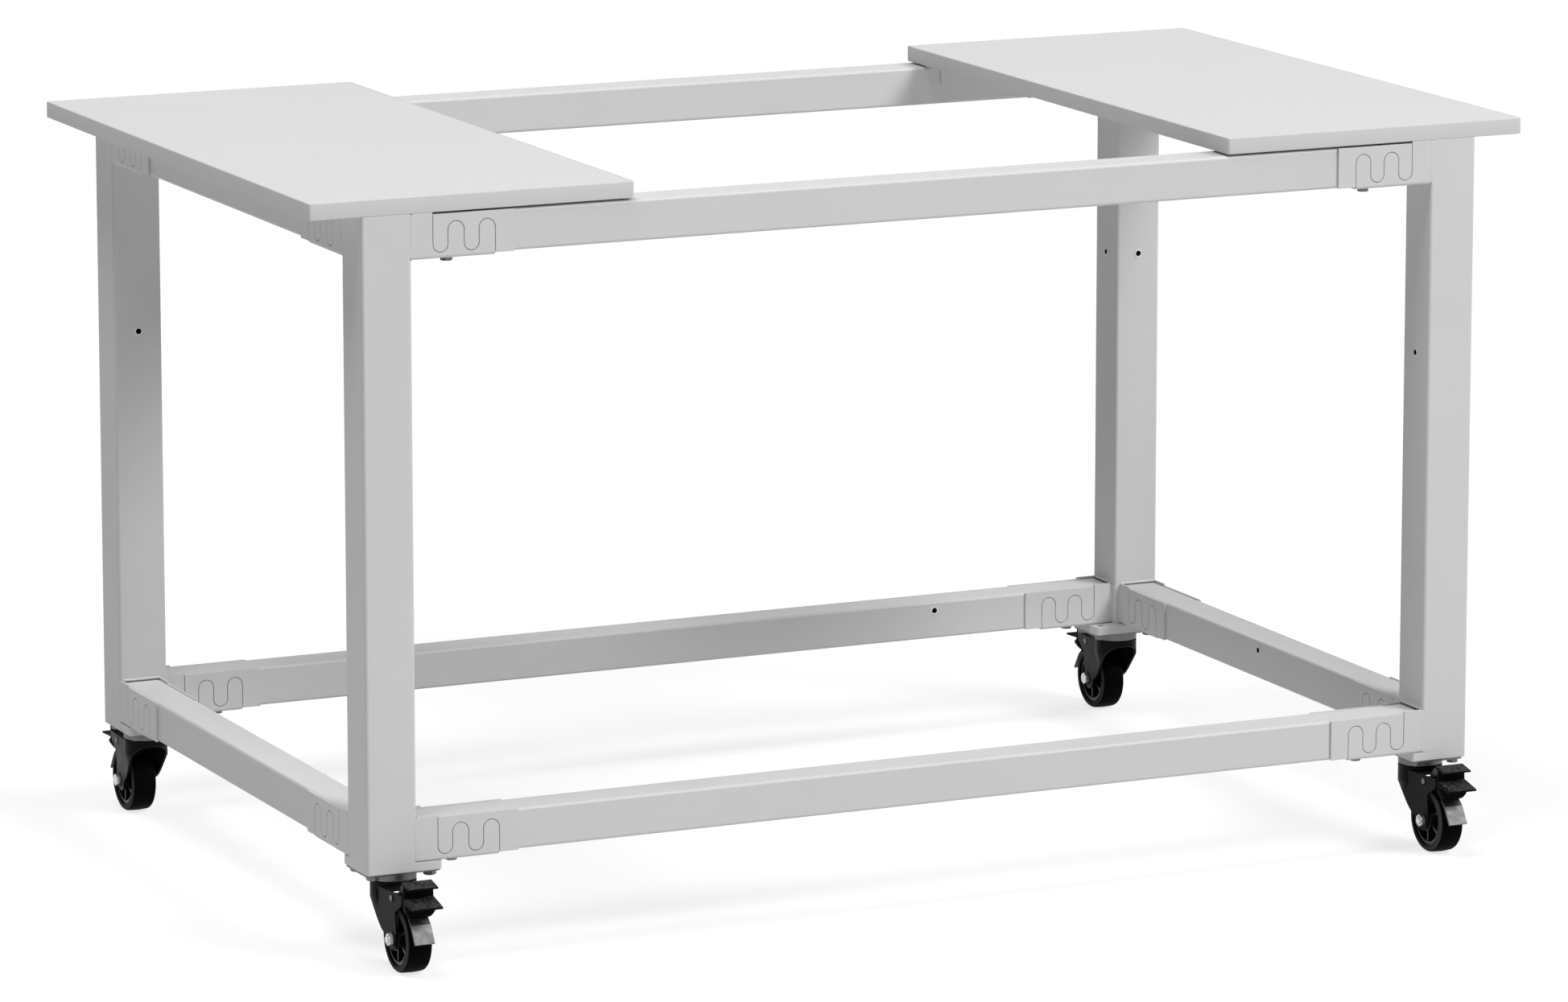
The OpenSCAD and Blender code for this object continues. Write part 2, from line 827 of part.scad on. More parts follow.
// Side view of the pedal: a flap on top to let go, a wall, a longer flap below to press, a round nose
module pedal_outline() {
    back_y = pedal_wall_y + pedal_wall;
    nose_r = 7;
    hem = 4;
    hem_z = [-2, -5, -7];
    top_reach = pedal_wall_y - 14;
    top_z = [-6.2, -8.2, -6.5];
    foot_reach = pedal_wall_y - 28;
    foot_z = [-19.5, -26, -28.3, -27];
    polygon([[back_y + hem, hem_z[0]], [top_reach, top_z[0]], [top_reach, top_z[1]],
        [pedal_wall_y + 1, top_z[2]], [pedal_wall_y + 0.5, foot_z[0]], [foot_reach, foot_z[1]],
        [foot_reach, foot_z[2]], [pedal_wall_y, foot_z[3]], [pedal_wall_y, pedal_foot_z],
        [back_y, pedal_foot_z], [back_y, hem_z[2]], [back_y + hem, hem_z[1]]]);
    difference() {
        translate([pedal_wall_y + 1, pedal_foot_z + nose_r])
            circle(r = nose_r);
        translate([back_y, pedal_foot_z - 1])
            square([nose_r, 3 * nose_r]);
    }
}

// Side view of a pedal arm, from its boss on the pin to the wall
module arm_outline() {
    back_y = pedal_wall_y + pedal_wall;
    arm_z = [-12, -35];
    shoulder_in = 9;
    waist = 1.5;
    difference() {
        union() {
            translate([brake_y, brake_z])
                circle(r = brake_boss_r);
            polygon([[brake_y, brake_z + brake_boss_r], [brake_y - shoulder_in, brake_z + brake_boss_r],
                [back_y + 2, arm_z[0]], [back_y - 0.5, arm_z[0]], [back_y - 0.5, arm_z[1]],
                [brake_y, brake_z - brake_boss_r + waist]]);
        }
        translate([brake_y, brake_z])
            circle(r = brake_pin_r + pin_gap);
        translate([second_pin_y, second_pin_z])
            circle(r = second_pin_r + pin_gap);
    }
}

// Brake pedal: wide flaps in front of the fork, two arms back to the pin
module pedal(i) {
    arm_out = fork_in - arm_gap;
    taper = 9;
    taper_z = pedal_foot_z + taper;
    color(BLACK_PAINT)
        at_castor(i) {
            difference() {
                translate([-pedal_w / 2, 0, 0])
                    along_x(pedal_w)
                        pedal_outline();
                for (way = [0, 1])
                    mirror([way, 0, 0])
                        translate([0, pedal_wall_y + pedal_wall + 1, 0])
                            rotate([90, 0, 0])
                                linear_extrude(4 * pedal_wall)
                                    polygon([[lever_w / 2, pedal_foot_z], [pedal_w / 2, taper_z],
                                        [pedal_w, taper_z], [pedal_w, pedal_foot_z - 1],
                                        [lever_w / 2, pedal_foot_z - 1]]);
            }
            for (x = [-arm_out, arm_out - arm_t])
                translate([x, 0, 0])
                    along_x(arm_t)
                        arm_outline();
        }
}

// Side view of a side plate of the steel lever: boss on the pin, round lug on top, front edge at the wall
module lever_outline() {
    back_y = pedal_wall_y + pedal_wall;
    lug_r = 5.5;
    lug_y = -57;
    lug_z = -13.5;
    lug_flat = 6;
    foot = [4.5, 5];
    difference() {
        union() {
            translate([brake_y, brake_z])
                circle(r = brake_boss_r);
            translate([lug_y, lug_z])
                circle(r = lug_r);
            polygon([[brake_y, brake_z + brake_boss_r], [lug_y + lug_r, lug_z], [lug_y, lug_z + lug_r],
                [lug_y - lug_flat, lug_z + lug_r], [lug_y - lug_flat, lug_z - 4],
                [back_y, brake_z], [back_y, pedal_foot_z],
                [back_y + foot[0], pedal_foot_z + foot[1]], [brake_y, brake_z - brake_boss_r + 0.5]]);
        }
        translate([brake_y, brake_z])
            circle(r = brake_pin_r + pin_gap);
        translate([second_pin_y, second_pin_z])
            circle(r = second_pin_r + pin_gap);
    }
}

// Steel brake lever: two side plates on the pin, and the bent tongue that is pressed on the tread
module brake_tongue(i) {
    back_y = pedal_wall_y + pedal_wall;
    second_pin_l = 2 * (fork_in - arm_gap);
    lap = 8;
    lap_t = 0.8;
    knee = [5.5, 7];
    knee_in = [3.3, 8.1];
    tip = [18, 26.6];
    tip_in = [15.9, 27.8];
    color(ZINC)
        at_castor(i) {
            for (x = [-lever_w / 2, lever_w / 2 - lever_t])
                translate([x, 0, 0])
                    along_x(lever_t)
                        lever_outline();
            translate([-lever_w / 2, 0, 0])
                along_x(lever_w)
                    polygon([[back_y + lap_t, pedal_foot_z + lap], [back_y, pedal_foot_z + lap],
                        [back_y, pedal_foot_z], [pedal_wall_y, pedal_foot_z - 2.5],
                        [pedal_wall_y, pedal_foot_z] - knee, [pedal_wall_y, pedal_foot_z] - tip,
                        [pedal_wall_y, pedal_foot_z] - tip_in, [pedal_wall_y, pedal_foot_z] - knee_in,
                        [back_y + lap_t, pedal_foot_z - 1]]);
            translate([0, second_pin_y, second_pin_z])
                rotate([0, 90, 0])
                    cylinder(r = second_pin_r, h = second_pin_l, center = true);
        }
}

// Pin of the pedal, riveted over outside the cheeks
module pedal_pin(i) {
    rivet_r = 3.6;
    rivet_h = 1.2;
    color(ZINC)
        at_castor(i)
            translate([0, brake_y, brake_z])
                rotate([0, 90, 0]) {
                    cylinder(r = brake_pin_r, h = 2 * pin_seat + rivet_h, center = true);
                    for (z = [-pin_seat - rivet_h, pin_seat])
                        translate([0, 0, z])
                            cylinder(r = rivet_r, h = rivet_h);
                }
}

leg(0);  // leg_front_left
leg(1);  // leg_front_right
leg(2);  // leg_back_right
leg(3);  // leg_back_left
foot_plates();
rail(0, top_rail);  // top_rail_front
rail(1, top_rail);  // top_rail_right
rail(2, top_rail);  // top_rail_back
rail(3, top_rail);  // top_rail_left
rail(0, low_rail);  // bottom_rail_front
rail(1, low_rail);  // bottom_rail_right
rail(2, low_rail);  // bottom_rail_back
rail(3, low_rail);  // bottom_rail_left
brackets(0);  // brackets_front_left
brackets(1);  // brackets_front_right
brackets(2);  // brackets_back_right
brackets(3);  // brackets_back_left
rail_hooks(top_rail);  // top_rail_hooks
rail_hooks(low_rail);  // bottom_rail_hooks
joint_bolts();
joint_washers();
joint_nuts();
threaded_inserts();
board(-1);  // board_left
board(1);  // board_right
board_tabs();
board_screws();
castor_plates();
castor_bolts();
king_pins();
swivel_balls();
fork(0);  // fork_front_left
fork(1);  // fork_front_right
fork(2);  // fork_back_right
fork(3);  // fork_back_left
axle(0);  // axle_front_left
axle(1);  // axle_front_right
axle(2);  // axle_back_right
axle(3);  // axle_back_left
wheel_core(0);  // wheel_core_front_left
wheel_core(1);  // wheel_core_front_right
wheel_core(2);  // wheel_core_back_right
wheel_core(3);  // wheel_core_back_left
tyre(0);  // tyre_front_left
tyre(1);  // tyre_front_right
tyre(2);  // tyre_back_right
tyre(3);  // tyre_back_left
pedal(0);  // pedal_front_left
pedal(1);  // pedal_front_right
pedal(2);  // pedal_back_right
pedal(3);  // pedal_back_left
brake_tongue(0);  // brake_tongue_front_left
brake_tongue(1);  // brake_tongue_front_right
brake_tongue(2);  // brake_tongue_back_right
brake_tongue(3);  // brake_tongue_back_left
pedal_pin(0);  // pedal_pin_front_left
pedal_pin(1);  // pedal_pin_front_right
pedal_pin(2);  // pedal_pin_back_right
pedal_pin(3);  // pedal_pin_back_left
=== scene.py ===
# %% [markdown]
# # A mobile machine stand, dressed for its photograph
# The CAD model already holds every tube, hook, bolt, board and castor of the stand at its real size.
# This lesson puts finishes on those solids and adds the small things that a solid modeller leaves out:
# weld beads, chamfered bolt heads, threads, tyre crowns and edge banding.
# It is written in cells. A text cell says what a thing is on the real stand and why it is made this way.
# The code cell after it makes that thing and prints what it made.

# %% Load the model
import json
import math

import bmesh
import bpy
import numpy as np
from mathutils import Matrix, Vector

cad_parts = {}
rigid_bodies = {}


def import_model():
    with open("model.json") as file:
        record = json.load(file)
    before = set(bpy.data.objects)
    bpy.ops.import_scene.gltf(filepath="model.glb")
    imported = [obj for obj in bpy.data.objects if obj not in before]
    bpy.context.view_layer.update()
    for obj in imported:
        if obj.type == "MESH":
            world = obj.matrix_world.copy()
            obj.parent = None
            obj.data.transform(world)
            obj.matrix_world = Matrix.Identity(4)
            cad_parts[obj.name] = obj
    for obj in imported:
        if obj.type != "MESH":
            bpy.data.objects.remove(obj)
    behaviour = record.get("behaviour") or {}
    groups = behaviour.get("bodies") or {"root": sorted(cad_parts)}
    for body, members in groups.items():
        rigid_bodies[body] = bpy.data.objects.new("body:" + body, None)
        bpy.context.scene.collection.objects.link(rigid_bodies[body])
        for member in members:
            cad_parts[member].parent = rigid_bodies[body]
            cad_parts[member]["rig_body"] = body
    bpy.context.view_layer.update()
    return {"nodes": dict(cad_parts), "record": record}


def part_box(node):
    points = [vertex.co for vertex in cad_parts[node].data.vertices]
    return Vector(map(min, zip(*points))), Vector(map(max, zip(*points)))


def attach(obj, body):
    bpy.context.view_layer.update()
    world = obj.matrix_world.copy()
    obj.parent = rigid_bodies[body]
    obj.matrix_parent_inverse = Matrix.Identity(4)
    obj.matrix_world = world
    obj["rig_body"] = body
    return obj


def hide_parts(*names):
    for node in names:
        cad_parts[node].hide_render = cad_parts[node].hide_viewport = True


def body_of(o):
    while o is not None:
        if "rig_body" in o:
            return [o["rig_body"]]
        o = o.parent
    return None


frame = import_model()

nodes = frame["nodes"]

# %% [markdown]
# ## The camera
# The picture was taken from the front left, a little above the boards, with a long lens: the far legs are
# hardly smaller than the near ones. A camera can be aimed by eye, or worked out from known corners of the
# object. Here the corners of the frame gave its place, turn and focal length, so the numbers are exact and
# only have to be written down. The small shift says that the picture was cropped off its centre.

# %% Aim the camera
yaw, pitch = 0.4341, 0.1835
looks = Vector((math.sin(yaw) * math.cos(pitch), math.cos(yaw) * math.cos(pitch), -math.sin(pitch)))
rightwards = Vector((math.cos(yaw), -math.sin(yaw), 0.0))
upwards = rightwards.cross(looks)

lens = bpy.data.cameras.new("photo_camera")
lens.sensor_width = 36.0
lens.lens = 179.45
lens.shift_x, lens.shift_y = 0.0003, -0.0673
lens.clip_end = 200.0
camera = bpy.data.objects.new("photo_camera", lens)
axes = Matrix((rightwards, upwards, -looks)).transposed().to_4x4()
camera.matrix_world = Matrix.Translation((-3.8625, -8.3465, 2.2408)) @ axes
bpy.context.scene.collection.objects.link(camera)
bpy.context.scene.camera = camera
bpy.context.scene.view_settings.view_transform = "Standard"
print("the camera stands", round((camera.location - Vector((0, 0, 0.44))).length, 2), "m from the stand")

# %% [markdown]
# ## The light
# The tops are brightest, the front faces a little darker and the left-hand faces darkest, with no hard
# shadow anywhere. Comparing those greys gives the light. A large soft lamp in front, to the right and
# half way up lights tops and fronts, and a second one high on the left lights tops and left-hand faces.
# Both are far away, so the far end of the stand is as bright as the near end. The rest comes up from the
# pale floor. The world adds a faint glow, and to the camera and in mirrors it is plain white.


# %% Nodes in one line
def node(tree, kind, inputs=None, **settings):
    """A new shader node. Settings are its own properties, and inputs are values or sockets by name."""
    made = tree.nodes.new(kind)
    for name, value in settings.items():
        setattr(made, name, value)
    for name, value in (inputs or {}).items():
        socket = made.inputs[name]
        if isinstance(value, bpy.types.NodeSocket):
            tree.links.new(value, socket)
        else:
            socket.default_value = value
    return made


def maths(tree, operation, first, second=0.0, clamp=False):
    """The result socket of one sum, on two values or sockets."""
    made = node(tree, "ShaderNodeMath", {0: first, 1: second}, operation=operation, use_clamp=clamp)
    return made.outputs[0]


def seen_directly(tree):
    """1 for rays from the camera and for what mirrors and clear things show, else 0."""
    path = node(tree, "ShaderNodeLightPath").outputs
    some = maths(tree, "ADD", path["Is Camera Ray"], path["Is Glossy Ray"])
    return maths(tree, "ADD", some, path["Is Transmission Ray"], clamp=True)


# %% World and lamps
world = bpy.data.worlds.new("studio")
world.use_nodes = True
tree = world.node_tree
tree.nodes.clear()
glow = node(tree, "ShaderNodeBackground", {"Color": (1, 1, 1, 1), "Strength": 0.08})
white = node(tree, "ShaderNodeBackground", {"Color": (1, 1, 1, 1), "Strength": 1.0})
both = {0: seen_directly(tree), 1: glow.outputs[0], 2: white.outputs[0]}
either = node(tree, "ShaderNodeMixShader", both)
node(tree, "ShaderNodeOutputWorld", {"Surface": either.outputs[0]})
bpy.context.scene.world = world


def far_lamp(name, azimuth, elevation, level, distance=16.0, size=6.0):
    """A square soft lamp. Azimuth in degrees from straight in front, to the right, and elevation. A white
    matt surface that faces it shines with the given level."""
    turn, rise = math.radians(azimuth), math.radians(elevation)
    towards = Vector((math.sin(turn) * math.cos(rise), -math.cos(turn) * math.cos(rise), math.sin(rise)))
    data = bpy.data.lights.new(name, "AREA")
    data.shape, data.size = "SQUARE", size
    data.energy = level * math.pi**2 * distance**2
    lamp = bpy.data.objects.new(name, data)
    lamp.location = Vector((0.0, 0.0, 0.45)) + towards * distance
    lamp.rotation_euler = towards.to_track_quat("Z", "Y").to_euler()
    bpy.context.scene.collection.objects.link(lamp)
    return lamp


key_lamp = far_lamp("key_lamp", 35.0, 42.0, 0.76)
fill_lamp = far_lamp("fill_lamp", -70.0, 72.0, 0.575)
for lamp in (key_lamp, fill_lamp):
    print(lamp.name, round(lamp.data.energy), "W")

# %% [markdown]
# ## The floor
# The stand is shown on pure white, so the floor has to be white and still hold the stand's shadow. A
# brighter floor would do it but would light the undersides too much. So it looks white to the camera
# through a little light of its own, with a grey share that the lamps have to fill: where the stand shades
# it, that share goes dark. The lamps fall off with distance, so its own light grows a little from 2 m to
# 14 m out and the far floor stays white. To all other rays it is a pale grey floor that sends light up.

# %% Lay the floor
half_side = 40.0
corners = np.array([(-1, -1, 0), (1, -1, 0), (1, 1, 0), (-1, 1, 0)], float) * half_side
floor_mesh = bpy.data.meshes.new("floor")
floor_mesh.from_pydata([tuple(c) for c in corners], [], [(0, 1, 2, 3)])
floor = bpy.data.objects.new("floor", floor_mesh)
bpy.context.scene.collection.objects.link(floor)

floor_paint = bpy.data.materials.new("studio_floor")
floor_paint.use_nodes = True
tree = floor_paint.node_tree
tree.nodes.clear()
grey = node(tree, "ShaderNodeBsdfDiffuse", {"Color": (0.70, 0.70, 0.70, 1)})
share = node(tree, "ShaderNodeBsdfDiffuse", {"Color": (0.30, 0.30, 0.30, 1)})
place_on = node(tree, "ShaderNodeTexCoord").outputs["Object"]
away = node(tree, "ShaderNodeVectorMath", {0: place_on}, operation="LENGTH").outputs["Value"]
near, far = 2.0, 14.0
own_level = node(tree, "ShaderNodeMapRange", {"Value": away, 1: near, 2: far, 3: 0.76, 4: 0.89})
own = node(tree, "ShaderNodeEmission", {"Color": (1, 1, 1, 1), "Strength": own_level.outputs[0]})
bright = node(tree, "ShaderNodeAddShader", {0: share.outputs[0], 1: own.outputs[0]})
surfaces = {0: seen_directly(tree), 1: grey.outputs[0], 2: bright.outputs[0]}
surface = node(tree, "ShaderNodeMixShader", surfaces)
node(tree, "ShaderNodeOutputMaterial", {"Surface": surface.outputs[0]})
floor_mesh.materials.append(floor_paint)
print("floor laid,", 2 * half_side, "m square")

# %% [markdown]
# ## Effects that several finishes share
# Every finish on the stand has four things in common: its edges catch the light and rub bare first, its
# surface isn't perfectly even, dust settles on what faces up, and its gloss changes from place to place.
# Each of these is built once, as a group of nodes with its own named inputs, and each finish then places
# it with its own values. The groups read Object coordinates, so the pattern stays put when a castor turns.


# %% A group with named inputs and outputs
def new_group(name, inputs, outputs):
    """An empty shader group, its input node and its output node. Inputs are {name: default value}."""
    group = bpy.data.node_groups.new(name, "ShaderNodeTree")
    for label, default in inputs.items():
        kind = "NodeSocketColor" if isinstance(default, tuple) else "NodeSocketFloat"
        group.interface.new_socket(label, in_out="INPUT", socket_type=kind).default_value = default
    for label, kind in outputs.items():
        group.interface.new_socket(label, in_out="OUTPUT", socket_type=kind)
    return group, group.nodes.new("NodeGroupInput"), group.nodes.new("NodeGroupOutput")


def place(tree, group, **inputs):
    """A group set in a material, with its own values. Underscores stand for spaces. Returns its outputs."""
    made = node(tree, "ShaderNodeGroup", node_tree=group)
    for label, value in inputs.items():
        socket = made.inputs[label.replace("_", " ")]
        if isinstance(value, bpy.types.NodeSocket):
            tree.links.new(value, socket)
        else:
            socket.default_value = value
    return made.outputs


def spots(tree, scale, detail=2.0, rough=0.5, stretch=(1, 1, 1)):
    """A cloudy value between 0 and 1 in object coordinates. Scale is in clouds per metre."""
    place_of = node(tree, "ShaderNodeTexCoord").outputs["Object"]
    mapped = node(tree, "ShaderNodeMapping", {"Vector": place_of, "Scale": stretch})
    clouds = {"Vector": mapped.outputs[0], "Scale": scale, "Detail": detail, "Roughness": rough}
    return node(tree, "ShaderNodeTexNoise", clouds).outputs["Fac"]


# %% [markdown]
# ### Edges
# Sheared and bent steel has small round edges, where a solid model has sharp ones. A bevel could be cut
# into every mesh, but the solids are to stay as they are, so the Bevel node rounds only the normals: it
# looks a set distance along the surface and answers with the normal that a rounded edge would have. Where
# that normal differs from the flat one, there is an edge, and the difference is also the mask for wear
# and for a painted highlight along the edge.

# %% The edge group
edge_group, given, gives = new_group(
    "soft_edges",
    {"Radius": 0.0008, "Spread": 8.0, "Breakup": 60.0},
    {"Edge": "NodeSocketFloat", "Normal": "NodeSocketVector"},
)
rounded = node(edge_group, "ShaderNodeBevel", {"Radius": given.outputs["Radius"]}, samples=6)
flat = node(edge_group, "ShaderNodeNewGeometry").outputs["Normal"]
agree = node(edge_group, "ShaderNodeVectorMath", {0: rounded.outputs[0], 1: flat}, operation="DOT_PRODUCT")
turned = maths(edge_group, "SUBTRACT", 1.0, agree.outputs["Value"], clamp=True)
spread = maths(edge_group, "MULTIPLY", turned, given.outputs["Spread"], clamp=True)
uneven = spots(edge_group, given.outputs["Breakup"], 3.0, 0.6)
patchy = node(edge_group, "ShaderNodeMapRange", {"Value": uneven, 1: 0.35, 2: 0.65, 3: 0.35, 4: 1.0})
edge_group.links.new(maths(edge_group, "MULTIPLY", spread, patchy.outputs[0]), gives.inputs["Edge"])
edge_group.links.new(rounded.outputs[0], gives.inputs["Normal"])
print("group", edge_group.name, "made")

# %% [markdown]
# ### The skin of a sprayed or moulded surface
# Powder coat flows together in the oven but stays dimpled like the skin of an orange, a millimetre or so
# from dimple to dimple. Moulded nylon has a finer, sharper grain. Both are heights, so one group makes
# them from two sizes of noise, and hands out the height for a Bump node and a slow cloudy value for the
# colour and gloss, because no coat is equally thick all over.

# %% The skin group
skin_group, given, gives = new_group(
    "sprayed_skin",
    {"Dimples": 900.0, "Ripples": 140.0, "Clouds": 6.0},
    {"Height": "NodeSocketFloat", "Cloud": "NodeSocketFloat", "Fleck": "NodeSocketFloat"},
)
dimples = spots(skin_group, given.outputs["Dimples"], 2.0, 0.45)
ripples = spots(skin_group, given.outputs["Ripples"], 1.0, 0.4)
both = maths(skin_group, "ADD", dimples, maths(skin_group, "MULTIPLY", ripples, 2.0))
skin_group.links.new(maths(skin_group, "MULTIPLY", both, 0.333), gives.inputs["Height"])
skin_group.links.new(spots(skin_group, given.outputs["Clouds"], 4.0, 0.6), gives.inputs["Cloud"])
skin_group.links.new(dimples, gives.inputs["Fleck"])
print("group", skin_group.name, "made")

# %% [markdown]
# ### Dust, and a painted sheen
# Dust lies where a surface faces up. It is a mask: how far the normal points up, times a patchy
# cloud.

# %% The dust group
# On the pedal, whose amount is large, this up-facing grey is a painted sheen standing for a highlight from
# above.
dust_sheen_group, given, gives = new_group(
    "dust_and_painted_sheen",
    {"Amount": 0.3, "Patches": 25.0, "From": 0.2},
    {"Dust": "NodeSocketFloat"},
)
facing = node(dust_sheen_group, "ShaderNodeNewGeometry").outputs["Normal"]
lift = node(dust_sheen_group, "ShaderNodeSeparateXYZ", {0: facing}).outputs["Z"]
upward = node(dust_sheen_group, "ShaderNodeMapRange", {"Value": lift, 1: given.outputs["From"], 2: 1.0})
patches = spots(dust_sheen_group, given.outputs["Patches"], 5.0, 0.65)
thick = node(dust_sheen_group, "ShaderNodeMapRange", {"Value": patches, 1: 0.35, 2: 0.75}).outputs[0]
lying = maths(dust_sheen_group, "MULTIPLY", upward.outputs[0], thick)
dust_sheen_group.links.new(maths(dust_sheen_group, "MULTIPLY", lying, given.outputs["Amount"]), gives.inputs["Dust"])
print("group", dust_sheen_group.name, "made")

# %% [markdown]
# ## The finishes
# A finish starts from one colour and one gloss, and the groups move both a little: clouds change the
# colour by a few per cent, edges lighten it, partly as wear and partly as a painted highlight, and dust
# greys it, which on the pedal's top is a painted sheen. The changes are small because the stand is new.
# They are what keeps a large plain face from looking like paper.


# %% Mixing and the start of a finish
def mixed(tree, amount, first, second):
    """A colour between two colours or sockets."""
    made = node(tree, "ShaderNodeMix", data_type="RGBA")
    for socket, value in ((made.inputs[0], amount), (made.inputs[6], first), (made.inputs[7], second)):
        if isinstance(value, bpy.types.NodeSocket):
            tree.links.new(value, socket)
        else:
            socket.default_value = value
    return made.outputs[2]


def between(tree, value, low, high, out_low, out_high):
    """Value moved from the span low..high to out_low..out_high, and held within it."""
    spans = {"Value": value, 1: low, 2: high, 3: out_low, 4: out_high}
    return node(tree, "ShaderNodeMapRange", spans).outputs[0]


def grey_of(level, warm=0.0):
    """A grey of this linear level, a little warm or cool."""
    return (level * (1 + warm), level, level * (1 - warm), 1.0)


def new_finish(name):
    """A material with an empty tree, its Principled shader linked to its output."""
    finish = bpy.data.materials.new(name)
    finish.use_nodes = True
    tree = finish.node_tree
    tree.nodes.clear()
    shader = node(tree, "ShaderNodeBsdfPrincipled")
    node(tree, "ShaderNodeOutputMaterial", {"Surface": shader.outputs[0]})
    return finish, tree, shader


def bumped(tree, height, normal, strength, distance):
    """The normal of a surface with this height on it, over the given normal."""
    inputs = {"Height": height, "Normal": normal, "Strength": strength, "Distance": distance}
    return node(tree, "ShaderNodeBump", inputs).outputs[0]


def drive(tree, shader, **sockets):
    """Links made for the Principled shader: its inputs by name, underscores standing for spaces."""
    for label, socket in sockets.items():
        tree.links.new(socket, shader.inputs[label.replace("_", " ")])


# %% [markdown]
# ### Light-grey powder coat
# All of the steel frame is sprayed with one light, neutral, satin grey. Every edge shows a thin lighter
# line, which is a painted highlight. The inserts' coat is painted lighter still, a painted highlight on
# their rims.


# %% The coat of the frame
def coat_finish(name, level, gloss, breakup):
    """Powder coat: an even colour, dimpled, with painted highlights along its edges and a little dust on
    top.
    """
    finish, tree, shader = new_finish(name)
    shader.inputs["Specular IOR Level"].default_value = 0.3
    edge = place(tree, edge_group, Radius=0.0009, Spread=5.0, Breakup=breakup)
    skin = place(tree, skin_group, Dimples=1100.0, Ripples=170.0, Clouds=5.0)
    dust = place(tree, dust_sheen_group, Amount=0.10, Patches=18.0, From=0.5)
    cloud = between(tree, skin["Cloud"], 0.3, 0.7, 0.0, 1.0)
    body = mixed(tree, cloud, grey_of(level * 0.975), grey_of(level * 1.02))
    grainy = mixed(tree, between(tree, skin["Fleck"], 0.3, 0.7, 0.0, 0.25), body, grey_of(level * 0.93))
    # The edges are lightened towards a paler grey: a painted highlight.
    edge_highlight = maths(tree, "MULTIPLY", edge["Edge"], 0.45)
    edge_wear_and_highlight = mixed(tree, edge_highlight, grainy, grey_of(min(level * 1.25, 0.8)))
    colour = mixed(tree, dust["Dust"], edge_wear_and_highlight, grey_of(0.42, 0.03))
    rough = between(tree, skin["Cloud"], 0.25, 0.75, gloss - 0.05, gloss + 0.07)
    normal = bumped(tree, skin["Height"], edge["Normal"], 0.12, 0.0004)
    drive(tree, shader, Base_Color=colour, Roughness=rough, Normal=normal)
    return finish


frame_coat = coat_finish("grey_powder_coat", 0.62, 0.46, 60.0)
# The inserts get a lighter coat: a painted highlight on their rims.
insert_highlight_coat = coat_finish("powder_coat_painted_highlight", 0.76, 0.40, 300.0)
print("finishes", frame_coat.name, insert_highlight_coat.name)

# %% [markdown]
# ### Board laminate
# The two boards are faced with a matt melamine sheet, pressed with a fine pebble so that it doesn't
# glare, and their edges carry a plastic band of nearly the same grey, smoother and a little glossier.

# %% The boards' facing and band
def board_finish(name, low_level, high_level, gloss, pebble):
    """A board surface: an even grey, a pressed pebble of the given size, painted highlights along its
    edges, a little dust.
    """
    finish, tree, shader = new_finish(name)
    shader.inputs["Specular IOR Level"].default_value = 0.12
    edge = place(tree, edge_group, Radius=0.0006, Spread=4.0, Breakup=40.0)
    skin = place(tree, skin_group, Dimples=pebble, Ripples=pebble * 0.4, Clouds=3.0)
    dust = place(tree, dust_sheen_group, Amount=0.06, Patches=7.0, From=0.6)
    cloud = between(tree, skin["Cloud"], 0.3, 0.7, 0.0, 1.0)
    body = mixed(tree, cloud, grey_of(low_level), grey_of(high_level))
    body = mixed(tree, between(tree, skin["Fleck"], 0.35, 0.65, 0.0, 0.3), body, grey_of(low_level * 0.94))
    # The edges are lightened towards a paler grey: a painted highlight.
    lit = mixed(tree, maths(tree, "MULTIPLY", edge["Edge"], 0.5), body, grey_of(0.74))
    colour = mixed(tree, dust["Dust"], lit, grey_of(0.45, 0.03))
    rough = between(tree, skin["Cloud"], 0.3, 0.7, gloss - 0.03, gloss + 0.05)
    normal = bumped(tree, skin["Height"], edge["Normal"], 0.10, 0.0004)
    drive(tree, shader, Base_Color=colour, Roughness=rough, Normal=normal)
    return finish


board_facing = board_finish("board_laminate", 0.645, 0.665, 0.60, 700.0)
band_finish = board_finish("board_edge_band", 0.60, 0.625, 0.48, 1500.0)
print("finishes", board_facing.name, band_finish.name)

# %% [markdown]
# ### Zinc plate
# Bolts, nuts, washers, the castors' plates and pins are plated with zinc: a bright, slightly blue-grey
# metal with a fine drawn grain, duller in patches, with painted highlights along its edges. Parts that sit
# in shade get a much darker colour, which is painted shade: the castors' plates, the joints' nuts and
# washers, the bolts and the pedal pins in a dark zinc, the brake's steel lever darker still, and the
# inserts' threads nearly black, a painted shade in their holes.


